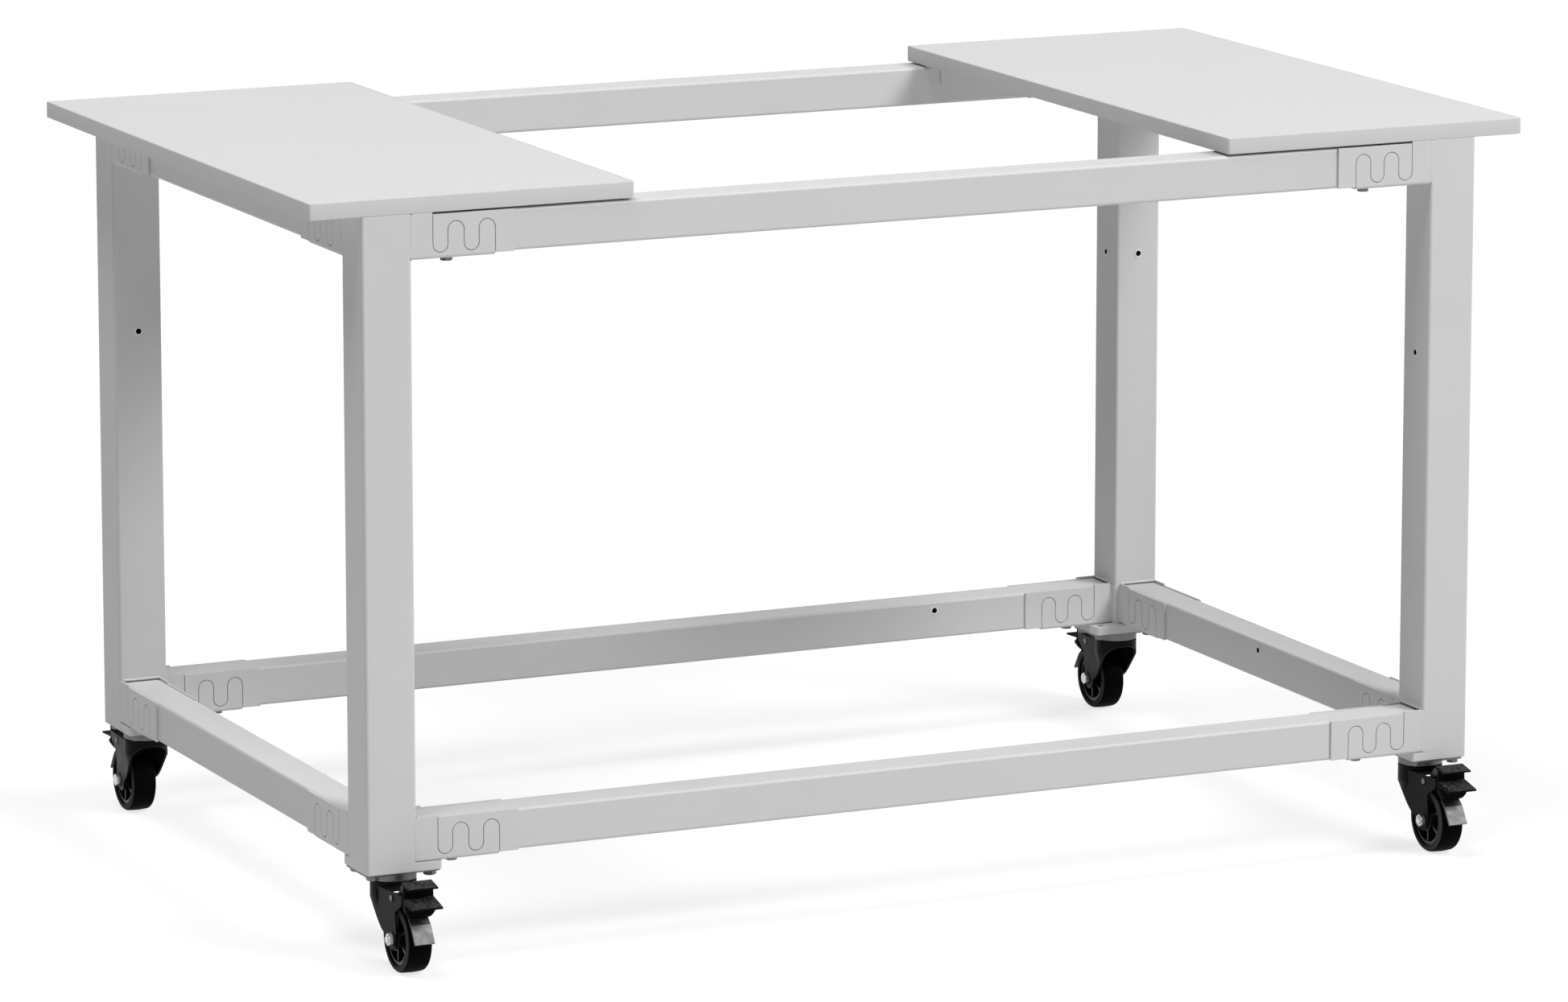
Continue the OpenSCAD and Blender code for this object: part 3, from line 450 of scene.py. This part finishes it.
# %% The plated parts
def plated_finish(name, level, gloss, drawn):
    """Plated steel: metal, grained along its length, cloudy in gloss, with painted highlights along its
    edges.
    """
    finish, tree, shader = new_finish(name)
    edge = place(tree, edge_group, Radius=0.0004, Spread=6.0, Breakup=300.0)
    skin = place(tree, skin_group, Dimples=2400.0, Ripples=420.0, Clouds=90.0)
    dust = place(tree, dust_sheen_group, Amount=0.12, Patches=90.0, From=0.3)
    lines = spots(tree, 500.0, 2.0, 0.5, drawn)
    cloud = between(tree, skin["Cloud"], 0.3, 0.7, 0.0, 1.0)
    body = mixed(tree, cloud, grey_of(level * 0.86, -0.01), grey_of(level * 1.04))
    body = mixed(tree, between(tree, lines, 0.35, 0.65, 0.0, 0.25), body, grey_of(level * 0.8))
    # The edges are lightened towards a paler grey: a painted highlight.
    edge_wear_and_highlight = mixed(tree, maths(tree, "MULTIPLY", edge["Edge"], 0.6), body, grey_of(min(level * 1.2, 0.9)))
    colour = mixed(tree, dust["Dust"], edge_wear_and_highlight, grey_of(0.30, 0.04))
    rough = between(tree, skin["Cloud"], 0.3, 0.7, gloss - 0.08, gloss + 0.12)
    normal = bumped(tree, lines, edge["Normal"], 0.08, 0.0002)
    drive(tree, shader, Base_Color=colour, Roughness=rough, Normal=normal)
    shader.inputs["Metallic"].default_value = 1.0
    return finish


bright_zinc = plated_finish("bright_zinc", 0.66, 0.32, (1.0, 1.0, 0.15))
# Painted shade: a dark zinc for the plates, nuts, washers, bolts and pins that sit in shade under foot
# plates, brackets and forks.
zinc_painted_shade = plated_finish("zinc_painted_shade", 0.17, 0.44, (1.0, 1.0, 0.4))
# Painted shade: a darker steel for the brake's lever, which sits in the shade under the pedal.
steel_painted_shade = plated_finish("steel_painted_shade", 0.085, 0.46, (0.2, 1.0, 1.0))
# Painted shade: the threads nearly black, for the shade inside the inserts' holes.
thread_painted_shade = plated_finish("thread_painted_shade", 0.012, 0.50, (1.0, 1.0, 1.0))
print("finishes", bright_zinc.name, zinc_painted_shade.name, steel_painted_shade.name, thread_painted_shade.name)

# %% [markdown]
# ### The castors' black parts
# Four blacks meet on each castor: the satin paint of the fork, the deeper and duller paint of the brake
# pedal, the moulded nylon of the wheel's core and the matt rubber of the tyre. They differ in gloss more
# than in colour. The pedal's top, where it faces up, is greyed by a painted sheen that stands for a
# highlight from above, and the sides of the tyre are a lighter grey than its tread.


# %% Black paint, nylon and rubber
def black_finish(name, level, gloss, shine, dimples, bump, edge_wear_highlight_amount, edge_wear_highlight_grey, dust_and_top_sheen, flank=0.0):
    """A black part: its own grain and gloss, edges lightened to the given grey as wear and as a painted
    highlight, an up-facing grey that is dust, and on the pedal a painted sheen. Where flank is given,
    faces that look along the X axis of the part are of that grey, lighter than the tread of a tyre."""
    finish, tree, shader = new_finish(name)
    shader.inputs["Specular IOR Level"].default_value = shine
    edge = place(tree, edge_group, Radius=0.0005, Spread=7.0, Breakup=220.0)
    skin = place(tree, skin_group, Dimples=dimples, Ripples=dimples * 0.25, Clouds=40.0)
    dust = place(tree, dust_sheen_group, Amount=dust_and_top_sheen, Patches=260.0, From=0.1)
    cloud = between(tree, skin["Cloud"], 0.3, 0.7, 0.0, 1.0)
    body = mixed(tree, cloud, grey_of(level * 0.75), grey_of(level * 1.3))
    # Faces that look along X take the flank grey, so a tyre's sides come out lighter than its tread.
    if flank:
        own_normal = node(tree, "ShaderNodeTexCoord").outputs["Normal"]
        along_x = node(tree, "ShaderNodeSeparateXYZ", {0: own_normal}).outputs["X"]
        sideways = maths(tree, "ABSOLUTE", along_x)
        body = mixed(tree, between(tree, sideways, 0.6, 0.9, 0.0, 1.0), body, grey_of(flank))
    # The edges are lightened towards the given grey: partly wear, partly a painted highlight.
    edge_wear_and_highlight = mixed(tree, maths(tree, "MULTIPLY", edge["Edge"], edge_wear_highlight_amount), body, grey_of(edge_wear_highlight_grey))
    # This up-facing grey is a little dust; on the pedal, with its large amount, it is a painted sheen
    # standing for a highlight from above.
    colour = mixed(tree, dust["Dust"], edge_wear_and_highlight, grey_of(0.16))
    rough = between(tree, skin["Cloud"], 0.3, 0.7, gloss - 0.05, gloss + 0.08)
    normal = bumped(tree, skin["Height"], edge["Normal"], bump, 0.0004)
    drive(tree, shader, Base_Color=colour, Roughness=rough, Normal=normal)
    return finish


fork_paint = black_finish("satin_black_paint", 0.008, 0.36, 0.05, 1400.0, 0.10, 0.25, 0.09, 0.06)
# The pedal's large amount makes its up-facing grey a painted sheen.
pedal_paint = black_finish("pedal_paint", 0.003, 0.40, 0.02, 1400.0, 0.14, 0.25, 0.05, 0.5)
nylon = black_finish("black_nylon", 0.006, 0.28, 0.30, 1900.0, 0.12, 0.20, 0.04, 0.06)
rubber = black_finish("black_rubber", 0.002, 0.50, 0.015, 1000.0, 0.25, 0.12, 0.02, 0.03, 0.060)
print("finishes", fork_paint.name, pedal_paint.name, nylon.name, rubber.name)

# %% [markdown]
# ## Dressing the solids
# Each solid from the CAD model gets the finish of its slot in the model's record, so nothing is left in
# plain grey. A few nodes differ from their slot: the brakes' pedals, the brakes' levers in a darker steel
# and some zinc parts in a darker zinc, both of which are painted shade.

# %% Give every node its finish
by_slot = {
    "painted_steel": frame_coat,
    "board": board_facing,
    "zinc": bright_zinc,
    "black_paint": fork_paint,
    "black_plastic": nylon,
    "black_rubber": rubber,
}


def wear(obj, finish):
    """The object's only material is this finish."""
    obj.data.materials.clear()
    obj.data.materials.append(finish)


slot_of = {part["node"]: part["material_slot"] for part in frame["record"]["subparts"]}
for name, obj in nodes.items():
    finish = by_slot[slot_of[name]]
    # The brake's lever takes the darker steel, a painted shade.
    if name.startswith("brake_tongue"):
        finish = steel_painted_shade
    if name.startswith("pedal_") and "pin" not in name:
        finish = pedal_paint
    # These take the dark zinc, a painted shade.
    if name in ("castor_plates", "joint_washers", "joint_nuts"):
        finish = zinc_painted_shade
    wear(obj, finish)
used = {obj.data.materials[0].name for obj in nodes.values()}
print(len(nodes), "nodes finished in", len(used), "finishes")

# %% [markdown]
# ## Surfaces made with numbers
# The small parts that follow are grids of points. Each row of a grid is one ring or one cross-section,
# and the rows are computed all at once by numpy. A grid that closes on itself and ends in single points
# is watertight once the points that coincide are merged. Corners that turn more than a set angle stay
# sharp and the rest is shaded smooth.


# %% From a grid of points to an object
def grid_faces(rows, columns, first=0):
    """Four corners for each square of a grid whose columns close into rings, as an array (n, 4).

    The point in row i and column j has the number first + i * columns + j.
    """
    i, j = np.meshgrid(np.arange(rows - 1), np.arange(columns), indexing="ij")
    on = (j + 1) % columns
    corners = [i * columns + j, i * columns + on, (i + 1) * columns + on, (i + 1) * columns + j]
    return np.stack(corners, axis=-1).reshape(-1, 4) + first


def piece(name, grids, finish, body, angle=32.0):
    """One object from grids (rows, columns, 3) in metres, closed, smooth and riding on a body."""
    points = np.concatenate([grid.reshape(-1, 3) for grid in grids])
    starts = np.cumsum([0] + [grid.shape[0] * grid.shape[1] for grid in grids[:-1]])
    faces = np.concatenate([grid_faces(*grid.shape[:2], start) for grid, start in zip(grids, starts)])
    mesh = bpy.data.meshes.new(name)
    mesh.from_pydata(points.tolist(), [], faces.tolist())
    shape = bmesh.new()
    shape.from_mesh(mesh)
    bmesh.ops.remove_doubles(shape, verts=shape.verts, dist=1e-6)
    bmesh.ops.dissolve_degenerate(shape, edges=shape.edges, dist=1e-7)
    bmesh.ops.recalc_face_normals(shape, faces=shape.faces)
    shape.to_mesh(mesh)
    shape.free()
    mesh.polygons.foreach_set("use_smooth", [True] * len(mesh.polygons))
    mesh.set_sharp_from_angle(angle=math.radians(angle))
    mesh.materials.append(finish)
    obj = bpy.data.objects.new(name, mesh)
    bpy.context.scene.collection.objects.link(obj)
    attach(obj, body)
    return obj


# %% [markdown]
# The CAD model keeps all equal fasteners in one node, so the places of the sixteen bolts have to be
# found again. Points that share a triangle belong to the same solid: each point takes the lowest number
# among its neighbours until nothing changes, and points with the same number are one solid.


# %% Find the separate solids of a node
def solids_of(name):
    """The points of each separate solid of a CAD node, as a list of arrays (n, 3) in metres."""
    obj = nodes[name]
    mesh = obj.data
    flat_points = np.empty(len(mesh.vertices) * 3)
    mesh.vertices.foreach_get("co", flat_points)
    turn = np.array(obj.matrix_world)
    world_points = flat_points.reshape(-1, 3) @ turn[:3, :3].T + turn[:3, 3]
    loops = np.empty(len(mesh.loops), dtype=np.int64)
    mesh.loops.foreach_get("vertex_index", loops)
    same, number = np.unique(np.round(world_points, 6), axis=0, return_inverse=True)
    ends = number.reshape(-1)[loops].reshape(-1, 3)
    label = np.arange(len(same))
    while True:
        lowest = label[ends].min(axis=1)
        before = label.copy()
        np.minimum.at(label, ends.reshape(-1), np.repeat(lowest, 3))
        label = label[label]
        if np.array_equal(before, label):
            break
    return [same[label == value] for value in np.unique(label)]


for name in ("castor_bolts", "joint_bolts", "threaded_inserts"):
    print(name, "holds", len(solids_of(name)), "solids")

# %% [markdown]
# ### Hexagon bolts
# A real bolt head isn't a plain prism. Its end is turned to a shallow cone, so each of the six flats ends
# in an arc, and it bears on a thin round face. Both come from one formula. The hexagon reaches
# a / cos(t) from its axis, where a is half the width across flats and t the angle from the middle of the
# nearest flat. The cone falls by tan(30 deg) from there, so the corners are cut lowest.


# %% Heads, nuts and shanks
M8_FLATS, M8_SHANK, M8_HEAD = 0.013, 0.004, 0.0053
END_CUT = 0.0007


def rings(profile, columns=48):
    """Rings about the Z axis: row i has radius profile[i][0] and height profile[i][1]. Either value may
    itself be an array over the columns."""
    angle = np.arange(columns) * 2 * math.pi / columns
    radius = np.stack([np.broadcast_to(row[0], columns) for row in profile])
    height = np.stack([np.broadcast_to(row[1], columns) for row in profile])
    return np.stack([radius * np.cos(angle), radius * np.sin(angle), height], axis=-1)


def hexagon_end(flats, end, below, columns=48):
    """Profile rows of a hexagon from its bearing face at height below to its turned end at height end."""
    half = flats / 2
    angle = np.arange(columns) * 2 * math.pi / columns
    from_flat = (angle % (math.pi / 3)) - math.pi / 6
    prism = half / np.cos(from_flat)
    face = half * 0.955
    way = math.copysign(1.0, end - below)
    cone = end - way * (prism - face) * math.tan(math.radians(30))
    ring_face = below + way * 0.0003
    sides = [(prism, ring_face), (prism, cone)]
    return [(face, below), (face, ring_face)] + sides + [(face, end), (face * 0.9, end)]


def bolt_rows(flats, shank, head, length, columns=48):
    """A bolt hanging from height 0: head below, shank up to the given length, a turned end on top."""
    tip = [(0.0, length), (shank - END_CUT, length), (shank, length - END_CUT), (shank, 0.0)]
    return rings(tip + hexagon_end(flats, -head, 0.0, columns) + [(0.0, -head)], columns)


def set_of_bolts(name):
    """One object with an M8 bolt for every solid of a CAD node, each turned as its hexagon is."""
    grids = []
    for points in solids_of(name):
        low, high = points.min(axis=0), points.max(axis=0)
        grid = bolt_rows(M8_FLATS, M8_SHANK, M8_HEAD, high[2] - low[2] - M8_HEAD)
        if high[1] - low[1] > high[0] - low[0]:
            grid = np.stack([-grid[..., 1], grid[..., 0], grid[..., 2]], axis=-1)
        middle = (low + high) / 2
        grids.append(grid + np.array([middle[0], middle[1], low[2] + M8_HEAD]))
    made = piece("turned_" + name, grids, zinc_painted_shade, "stand")
    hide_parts(name)
    return made


for name in ("castor_bolts", "joint_bolts"):
    print(set_of_bolts(name).name, "made")

# %% [markdown]
# ### Axles and pedal pins
# The axle is a bolt lying across the fork, with a sleeve in the hub and a lock nut. The pedal turns on a
# pin whose two ends are riveted over into domes. Both lie along X, so their rings are laid down: the
# height of a ring becomes a place along X. On the back castors everything is turned half round.


# %% Lay rings along X
def body_under(name):
    """The name of the body that a CAD node rides on."""
    return body_of(nodes[name])[0]


def laid(grid, middle, way):
    """Rings about Z laid along X, with their heights going the given way, about a middle (x, y, z)."""
    along = np.stack([way * grid[..., 2], way * grid[..., 1], grid[..., 0]], axis=-1)
    return along + np.asarray(middle)


def dome(radius, rise, steps, base, way):
    """Profile rows of a rivet head: a flat round bearing face and a cap of the given rise."""
    part = np.linspace(0, math.pi / 2, steps)
    return [(radius * math.cos(t), base + way * (0.3 + 0.7 * math.sin(t)) * rise) for t in part]


def lay_axle(name):
    """Sleeve, bolt and lock nut of one castor's axle, placed from the boxes of its three solids."""
    nut, sleeve, bolt = sorted(solids_of(name), key=lambda points: np.ptp(points[:, 0]))
    centre = (sleeve.min(axis=0) + sleeve.max(axis=0)) / 2
    way = math.copysign(1.0, centre[0] - nut[:, 0].mean())
    tail, end = sorted(way * (bolt[[bolt[:, 0].argmin(), bolt[:, 0].argmax()], 0] - centre[0]))
    seat = end - M8_HEAD
    shank = [(0.0, tail), (M8_SHANK - END_CUT, tail), (M8_SHANK, tail + END_CUT), (M8_SHANK, seat)]
    bolt_grid = rings(shank + hexagon_end(M8_FLATS, end, seat) + [(0.0, end)])
    outer, inner = sorted(way * (nut[[nut[:, 0].argmin(), nut[:, 0].argmax()], 0] - centre[0]))
    bore, mouth, chamfer = 0.0043, 0.0053, 0.0003
    inside = [(mouth, outer), (bore, outer + 0.0006), (bore, inner), (0.0062, inner)]
    nut_grid = rings(hexagon_end(M8_FLATS, outer, inner)[:-1] + inside)
    half = np.ptp(sleeve[:, 0]) / 2
    bush_in, bush_out = 0.0041, 0.006
    bush = [(bush_in, -half), (bush_out - chamfer, -half), (bush_out, chamfer - half)]
    bush += [(bush_out, half - chamfer), (bush_out - chamfer, half), (bush_in, half), (bush_in, -half)]
    grids = [laid(grid, centre, way) for grid in (bolt_grid, nut_grid, rings(bush))]
    made = piece("turned_" + name, grids, bright_zinc, body_under(name))
    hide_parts(name)
    return made


def lay_pin(name):
    """A pin with a domed head riveted at each end."""
    points = solids_of(name)[0]
    centre = (points.min(axis=0) + points.max(axis=0)) / 2
    half, radius = np.ptp(points[:, 0]) / 2, np.ptp(points[:, 2]) / 2
    pin_radius, rise = 0.003, 0.0014
    cap = dome(radius, rise, 7, half - rise, 1.0)
    stem = [(pin_radius, 0.0), (pin_radius, half - rise), (radius, half - rise)]
    profile = stem + cap[:-1] + [(0.0, half)]
    mirrored = [(row[0], -row[1]) for row in reversed(profile)]
    grid = laid(rings(mirrored + profile[1:], 32), centre, 1.0)
    made = piece("riveted_" + name, [grid], zinc_painted_shade, body_under(name))
    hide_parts(name)
    return made


corner_names = [name[5:] for name in nodes if name.startswith("tyre_")]
for corner in corner_names:
    print(lay_axle("axle_" + corner).name, "and", lay_pin("pedal_pin_" + corner).name)

# %% [markdown]
# ### Tyres
# A rubber tyre is moulded in two halves. Its tread is crowned a little so that it rolls on its middle, a
# fine line runs round it where the mould closed, and each side has a shallow hollow between the bead and
# the shoulder. All of that is in the profile: the crown is r - c (x / w)^2 and the line is a narrow
# raised ridge, r + h exp(-(x / e)^2), with the top of the ridge at the tyre's full radius.


# %% Turn the tyres
def tyre_profile(radius, half, inner):
    """Rows (radius, x) from the bore over one side, the tread and the other side, back to the bore."""
    shoulder, line, line_width, crown = 0.0042, 0.00018, 0.0003, 0.0005
    flat = half - shoulder
    x = np.linspace(-1, 1, 41) * flat
    tread = radius - line - crown * (x / flat) ** 2 + line * np.exp(-((x / line_width) ** 2))
    turn = np.linspace(0, math.pi / 2, 9)[:-1]
    low = tread[0] - shoulder
    rounded_end = [(low + shoulder * math.sin(t), -flat - shoulder * math.cos(t)) for t in turn]
    lip, hollow = 0.0012, 0.0006
    span = low - inner - 2 * lip
    part = np.linspace(0, 1, 9)
    side = [(inner + lip + span * p, -half + hollow * math.sin(math.pi * p) ** 0.5) for p in part]
    bead = [(inner, -half + lip), (inner + lip / 2, -half)]
    first = bead + side + [(low - lip / 2, -half)] + rounded_end
    second = [(row[0], -row[1]) for row in reversed(first)]
    return first + list(zip(tread.tolist(), x.tolist())) + second + [first[0]]


for corner in corner_names:
    name = "tyre_" + corner
    low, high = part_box(name)
    centre, half, radius = (low + high) / 2, (high[0] - low[0]) / 2, (high[2] - low[2]) / 2
    bore = radius - 0.009
    grid = laid(rings(tyre_profile(radius, half, bore), 160), centre, 1.0)
    made = piece("moulded_" + name, [grid], rubber, body_under(name), 40.0)
    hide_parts(name)
    print(made.name, len(made.data.polygons), "faces")

# %% [markdown]
# ### Boards
# Each board is a chipboard slab with laminate on both faces and a plastic band glued round its edge. The
# band's outer corners are rounded by a millimetre so that nothing chips, and a hair line shows where
# band and laminate meet. The outline is a rectangle with rounded corners, pulled in by a given amount.


# %% Slab and edge band
def outline(low, high, radius, inward, each=8):
    """Points (n, 2) round a rectangle with round corners, every point moved inward by the same amount."""
    quarter, step = np.divmod(np.arange(4 * each), each)
    turn = (quarter + step / (each - 1)) * math.pi / 2
    sign = np.array([(1, 1), (-1, 1), (-1, -1), (1, -1)])[quarter]
    middle, reach = (low + high) / 2, (high - low) / 2 - radius
    unit = np.stack([np.cos(turn), np.sin(turn)], -1)
    return middle + sign * reach + unit * (radius - inward)


def stacked(low, high, radius, rows):
    """A grid whose rows are outlines at (inward, height). An inward of None is the middle point."""
    made = []
    for inward, height in rows:
        ring = outline(low[:2], high[:2], radius, inward or 0.0)
        if inward is None:
            ring = np.broadcast_to((low[:2] + high[:2]) / 2, ring.shape)
        made.append(np.column_stack([ring, np.full(len(ring), height)]))
    return np.stack(made)


band_t, arris, hair = 0.0012, 0.0009, 0.00025
for name in ("board_left", "board_right"):
    low, high = (np.array(corner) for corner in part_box(name))
    bottom, top = low[2], high[2]
    core_in = band_t + hair
    slab = [(None, bottom), (core_in + 0.0002, bottom), (core_in, bottom + 0.0002)]
    slab += [(core_in, top - 0.0002), (core_in + 0.0002, top), (None, top)]
    curve = [(arris * (1 - math.sin(t)), arris * (1 - math.cos(t))) for t in np.linspace(0, math.pi / 2, 6)]
    ring = [(band_t, bottom)] + [(inward, bottom + rise) for inward, rise in curve]
    ring += [(inward, top - rise) for inward, rise in reversed(curve)] + [(band_t, top), (band_t, bottom)]
    face = piece("laminated_" + name, [stacked(low, high, 0.004, slab)], board_facing, "stand")
    edge_band = piece("edge_band_" + name, [stacked(low, high, 0.004, ring)], band_finish, "stand")
    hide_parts(name)
    print(face.name, "with", edge_band.name)

# %% [markdown]
# ### Weld beads
# The hook brackets are welded to the legs. A bead is laid in one slow pass, so it has ripples about as
# far apart as its width, each an arc of cooled metal. The beads fill the groove beside the leg's rounded
# corner on the outside, and make a fillet where bracket and leg meet inside and on top. The height of
# the bead over its length s is h (1 + 0.16 |sin(pi s / pitch)|), and it shrinks to a point at both ends.


# %% Lay the beads
HALF_WAY_UP = 0.5


def beads(starts, ends, side, out, width, height, pitch=0.0022):
    """Grids for straight beads: starts and ends (n, 3), across in unit direction side and out (n, 3)."""
    length = np.linalg.norm(ends - starts, axis=1)
    steps = int(length.max() / pitch * 4) + 1
    part = np.linspace(0, 1, steps)
    ripple = 1 + 0.16 * np.abs(np.sin(math.pi * part[None, :] * length[:, None] / pitch))
    fade = np.sqrt(np.clip(np.minimum(part, 1 - part) * length[:, None] / 0.0012, 0, 1))
    angle = np.arange(14) * 2 * math.pi / 14
    path = starts[:, None, :] + (ends - starts)[:, None, :] * part[None, :, None]
    cosine, sine = np.cos(angle)[None, None, :, None], np.sin(angle)[None, None, :, None]
    across = side[:, None, None, :] * (width * fade)[:, :, None, None] * cosine
    rise = out[:, None, None, :] * (height * fade * ripple)[:, :, None, None] * sine
    return list(path[:, :, None, :] + across + rise)


def bracket_beads(corner):
    """Beads round the four bracket sockets of a corner: groove outside, fillets inside, above or below."""
    grids = []
    leg_low, leg_high = (np.array(v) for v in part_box("leg_" + corner))
    for points in solids_of("brackets_" + corner):
        low, high = points.min(axis=0), points.max(axis=0)
        along = 0 if high[0] - low[0] > high[1] - low[1] else 1
        cross = 1 - along
        outward = math.copysign(1.0, (leg_low + leg_high)[cross])
        seam_at = leg_low[along] if (leg_low + leg_high)[along] > 0 else leg_high[along]
        away = math.copysign(1.0, -(leg_low + leg_high)[along])
        e_along, e_out = np.zeros(3), np.zeros(3)
        e_along[along], e_out[cross] = away, outward
        face = high[cross] if outward > 0 else low[cross]
        back = low[cross] if outward > 0 else high[cross]
        spot = np.zeros(3)
        spot[along] = seam_at
        groove, inside = spot.copy(), spot.copy()
        groove[cross], inside[cross] = face - outward * 0.0011, back
        groove[along] -= away * 0.0012
        z = np.array([0, 0, 1.0])
        rows = [(groove, z * (low[2] + 0.001), z * (high[2] - 0.001), e_along, e_out, 0.0021, 0.0012)]
        rows.append((inside, z * (low[2] + 0.002), z * (high[2] - 0.001), e_along, -e_out, 0.0017, 0.0016))
        for start, lower, upper, side, out, width, height in rows:
            first, last = (start + lower)[None], (start + upper)[None]
            grids += beads(first, last, side[None], out[None], width, height)
        level, lift = (high[2], z) if low[2] < HALF_WAY_UP else (low[2], -z)
        start, end = spot + z * level, spot + z * level
        start[cross], end[cross] = face - outward * 0.003, back + outward * 0.001
        grids += beads(start[None], end[None], e_along[None], lift[None], 0.0017, 0.0016)
    return grids


welded = [grid for corner in corner_names for grid in bracket_beads(corner)]
weld_beads = piece("weld_beads", welded, frame_coat, "stand", 60.0)
print(len(welded), "beads,", len(weld_beads.data.polygons), "faces")

# %% [markdown]
# ### Threaded inserts
# The inserts in the legs and rails are turned bushes with a rim, painted over with the frame in a lighter
# coat, a painted highlight on the rim, and a thread painted nearly black, a painted shade in the hole. The
# mouth is countersunk so that a screw finds its way in, and each one shows as a dark dot in a pale ring. A
# thread is a ridge that climbs one pitch in every turn: the radius at height z
# and angle t is r - d tri(z / pitch - t / 2 pi), where tri is a triangle wave between 0 and 1. One grid of
# rings holds it, because the ridge only slides along.


# %% Turn the inserts and cut their threads
def thread_grid(radius, depth, pitch, foot, top, mouth, columns=24):
    """A bush about Z: a helical ridge from height foot to top, a cone from there to the mouth, which is
    (radius, height), and a plain outer wall back down."""
    rows = int((top - foot) / pitch * 6) + 1
    z = np.linspace(foot, top, rows)[:, None]
    angle = (np.arange(columns) * 2 * math.pi / columns)[None, :]
    phase = (z / pitch - angle / (2 * math.pi)) % 1.0
    ridge = radius - depth * (1 - np.abs(2 * phase - 1))
    inner = np.stack([ridge * np.cos(angle), ridge * np.sin(angle), np.broadcast_to(z, ridge.shape)], -1)
    outside = radius + 0.0002
    wall = rings([mouth, (mouth[0] + 0.00015, mouth[1]), (outside, top), (outside, foot)], columns)
    return np.concatenate([inner, wall, inner[:1]])


def turned_to(grid, axis, way, middle):
    """Rings about Z turned so that their heights run along an axis (0 to 2) the given way (1 or -1)."""
    order = {0: [2, 0, 1], 1: [1, 2, 0], 2: [0, 1, 2]}[axis]
    return (grid * (1.0, way, way))[..., order] + middle


half, rim_edge, barrel, bore, mouth = 0.004, 0.0055, 0.0044, 0.0029, 0.0036
chamfer, rim_depth, countersink = 0.0003, 0.0008, 0.0011
rim = [(mouth, half), (rim_edge - chamfer, half), (rim_edge, half - chamfer), (rim_edge, half - rim_depth)]
shank = [(barrel, half - rim_depth), (barrel, 0.0004 - half), (barrel - 0.0004, -half), (bore, -half)]
bush = rings(rim + shank + [(bore, half - countersink), (mouth, half)], 32)
thread = thread_grid(0.0025, 0.0004, 0.001, 0.0001 - half, half - 0.001, (0.00335, half - 0.0001))
bushes, threads = [], []
for points in solids_of("threaded_inserts"):
    low, high = points.min(axis=0), points.max(axis=0)
    axis = int(np.argmin(high - low))
    upper = points[points[:, axis] > high[axis] - 1e-5]
    lower = points[points[:, axis] < low[axis] + 1e-5]
    way = 1.0 if np.ptp(upper, axis=0).max() > np.ptp(lower, axis=0).max() else -1.0
    bushes.append(turned_to(bush, axis, way, (low + high) / 2))
    threads.append(turned_to(thread, axis, way, (low + high) / 2))
# The bushes take the lighter coat: a painted highlight on their rims.
turned_inserts = piece("turned_inserts", bushes, insert_highlight_coat, "stand", 25.0)
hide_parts("threaded_inserts")
# The threads take a nearly black steel: a painted shade inside the holes.
insert_threads = piece("insert_threads", threads, thread_painted_shade, "stand", 50.0)
print(len(bushes), "inserts,", len(insert_threads.data.polygons), "faces of thread")
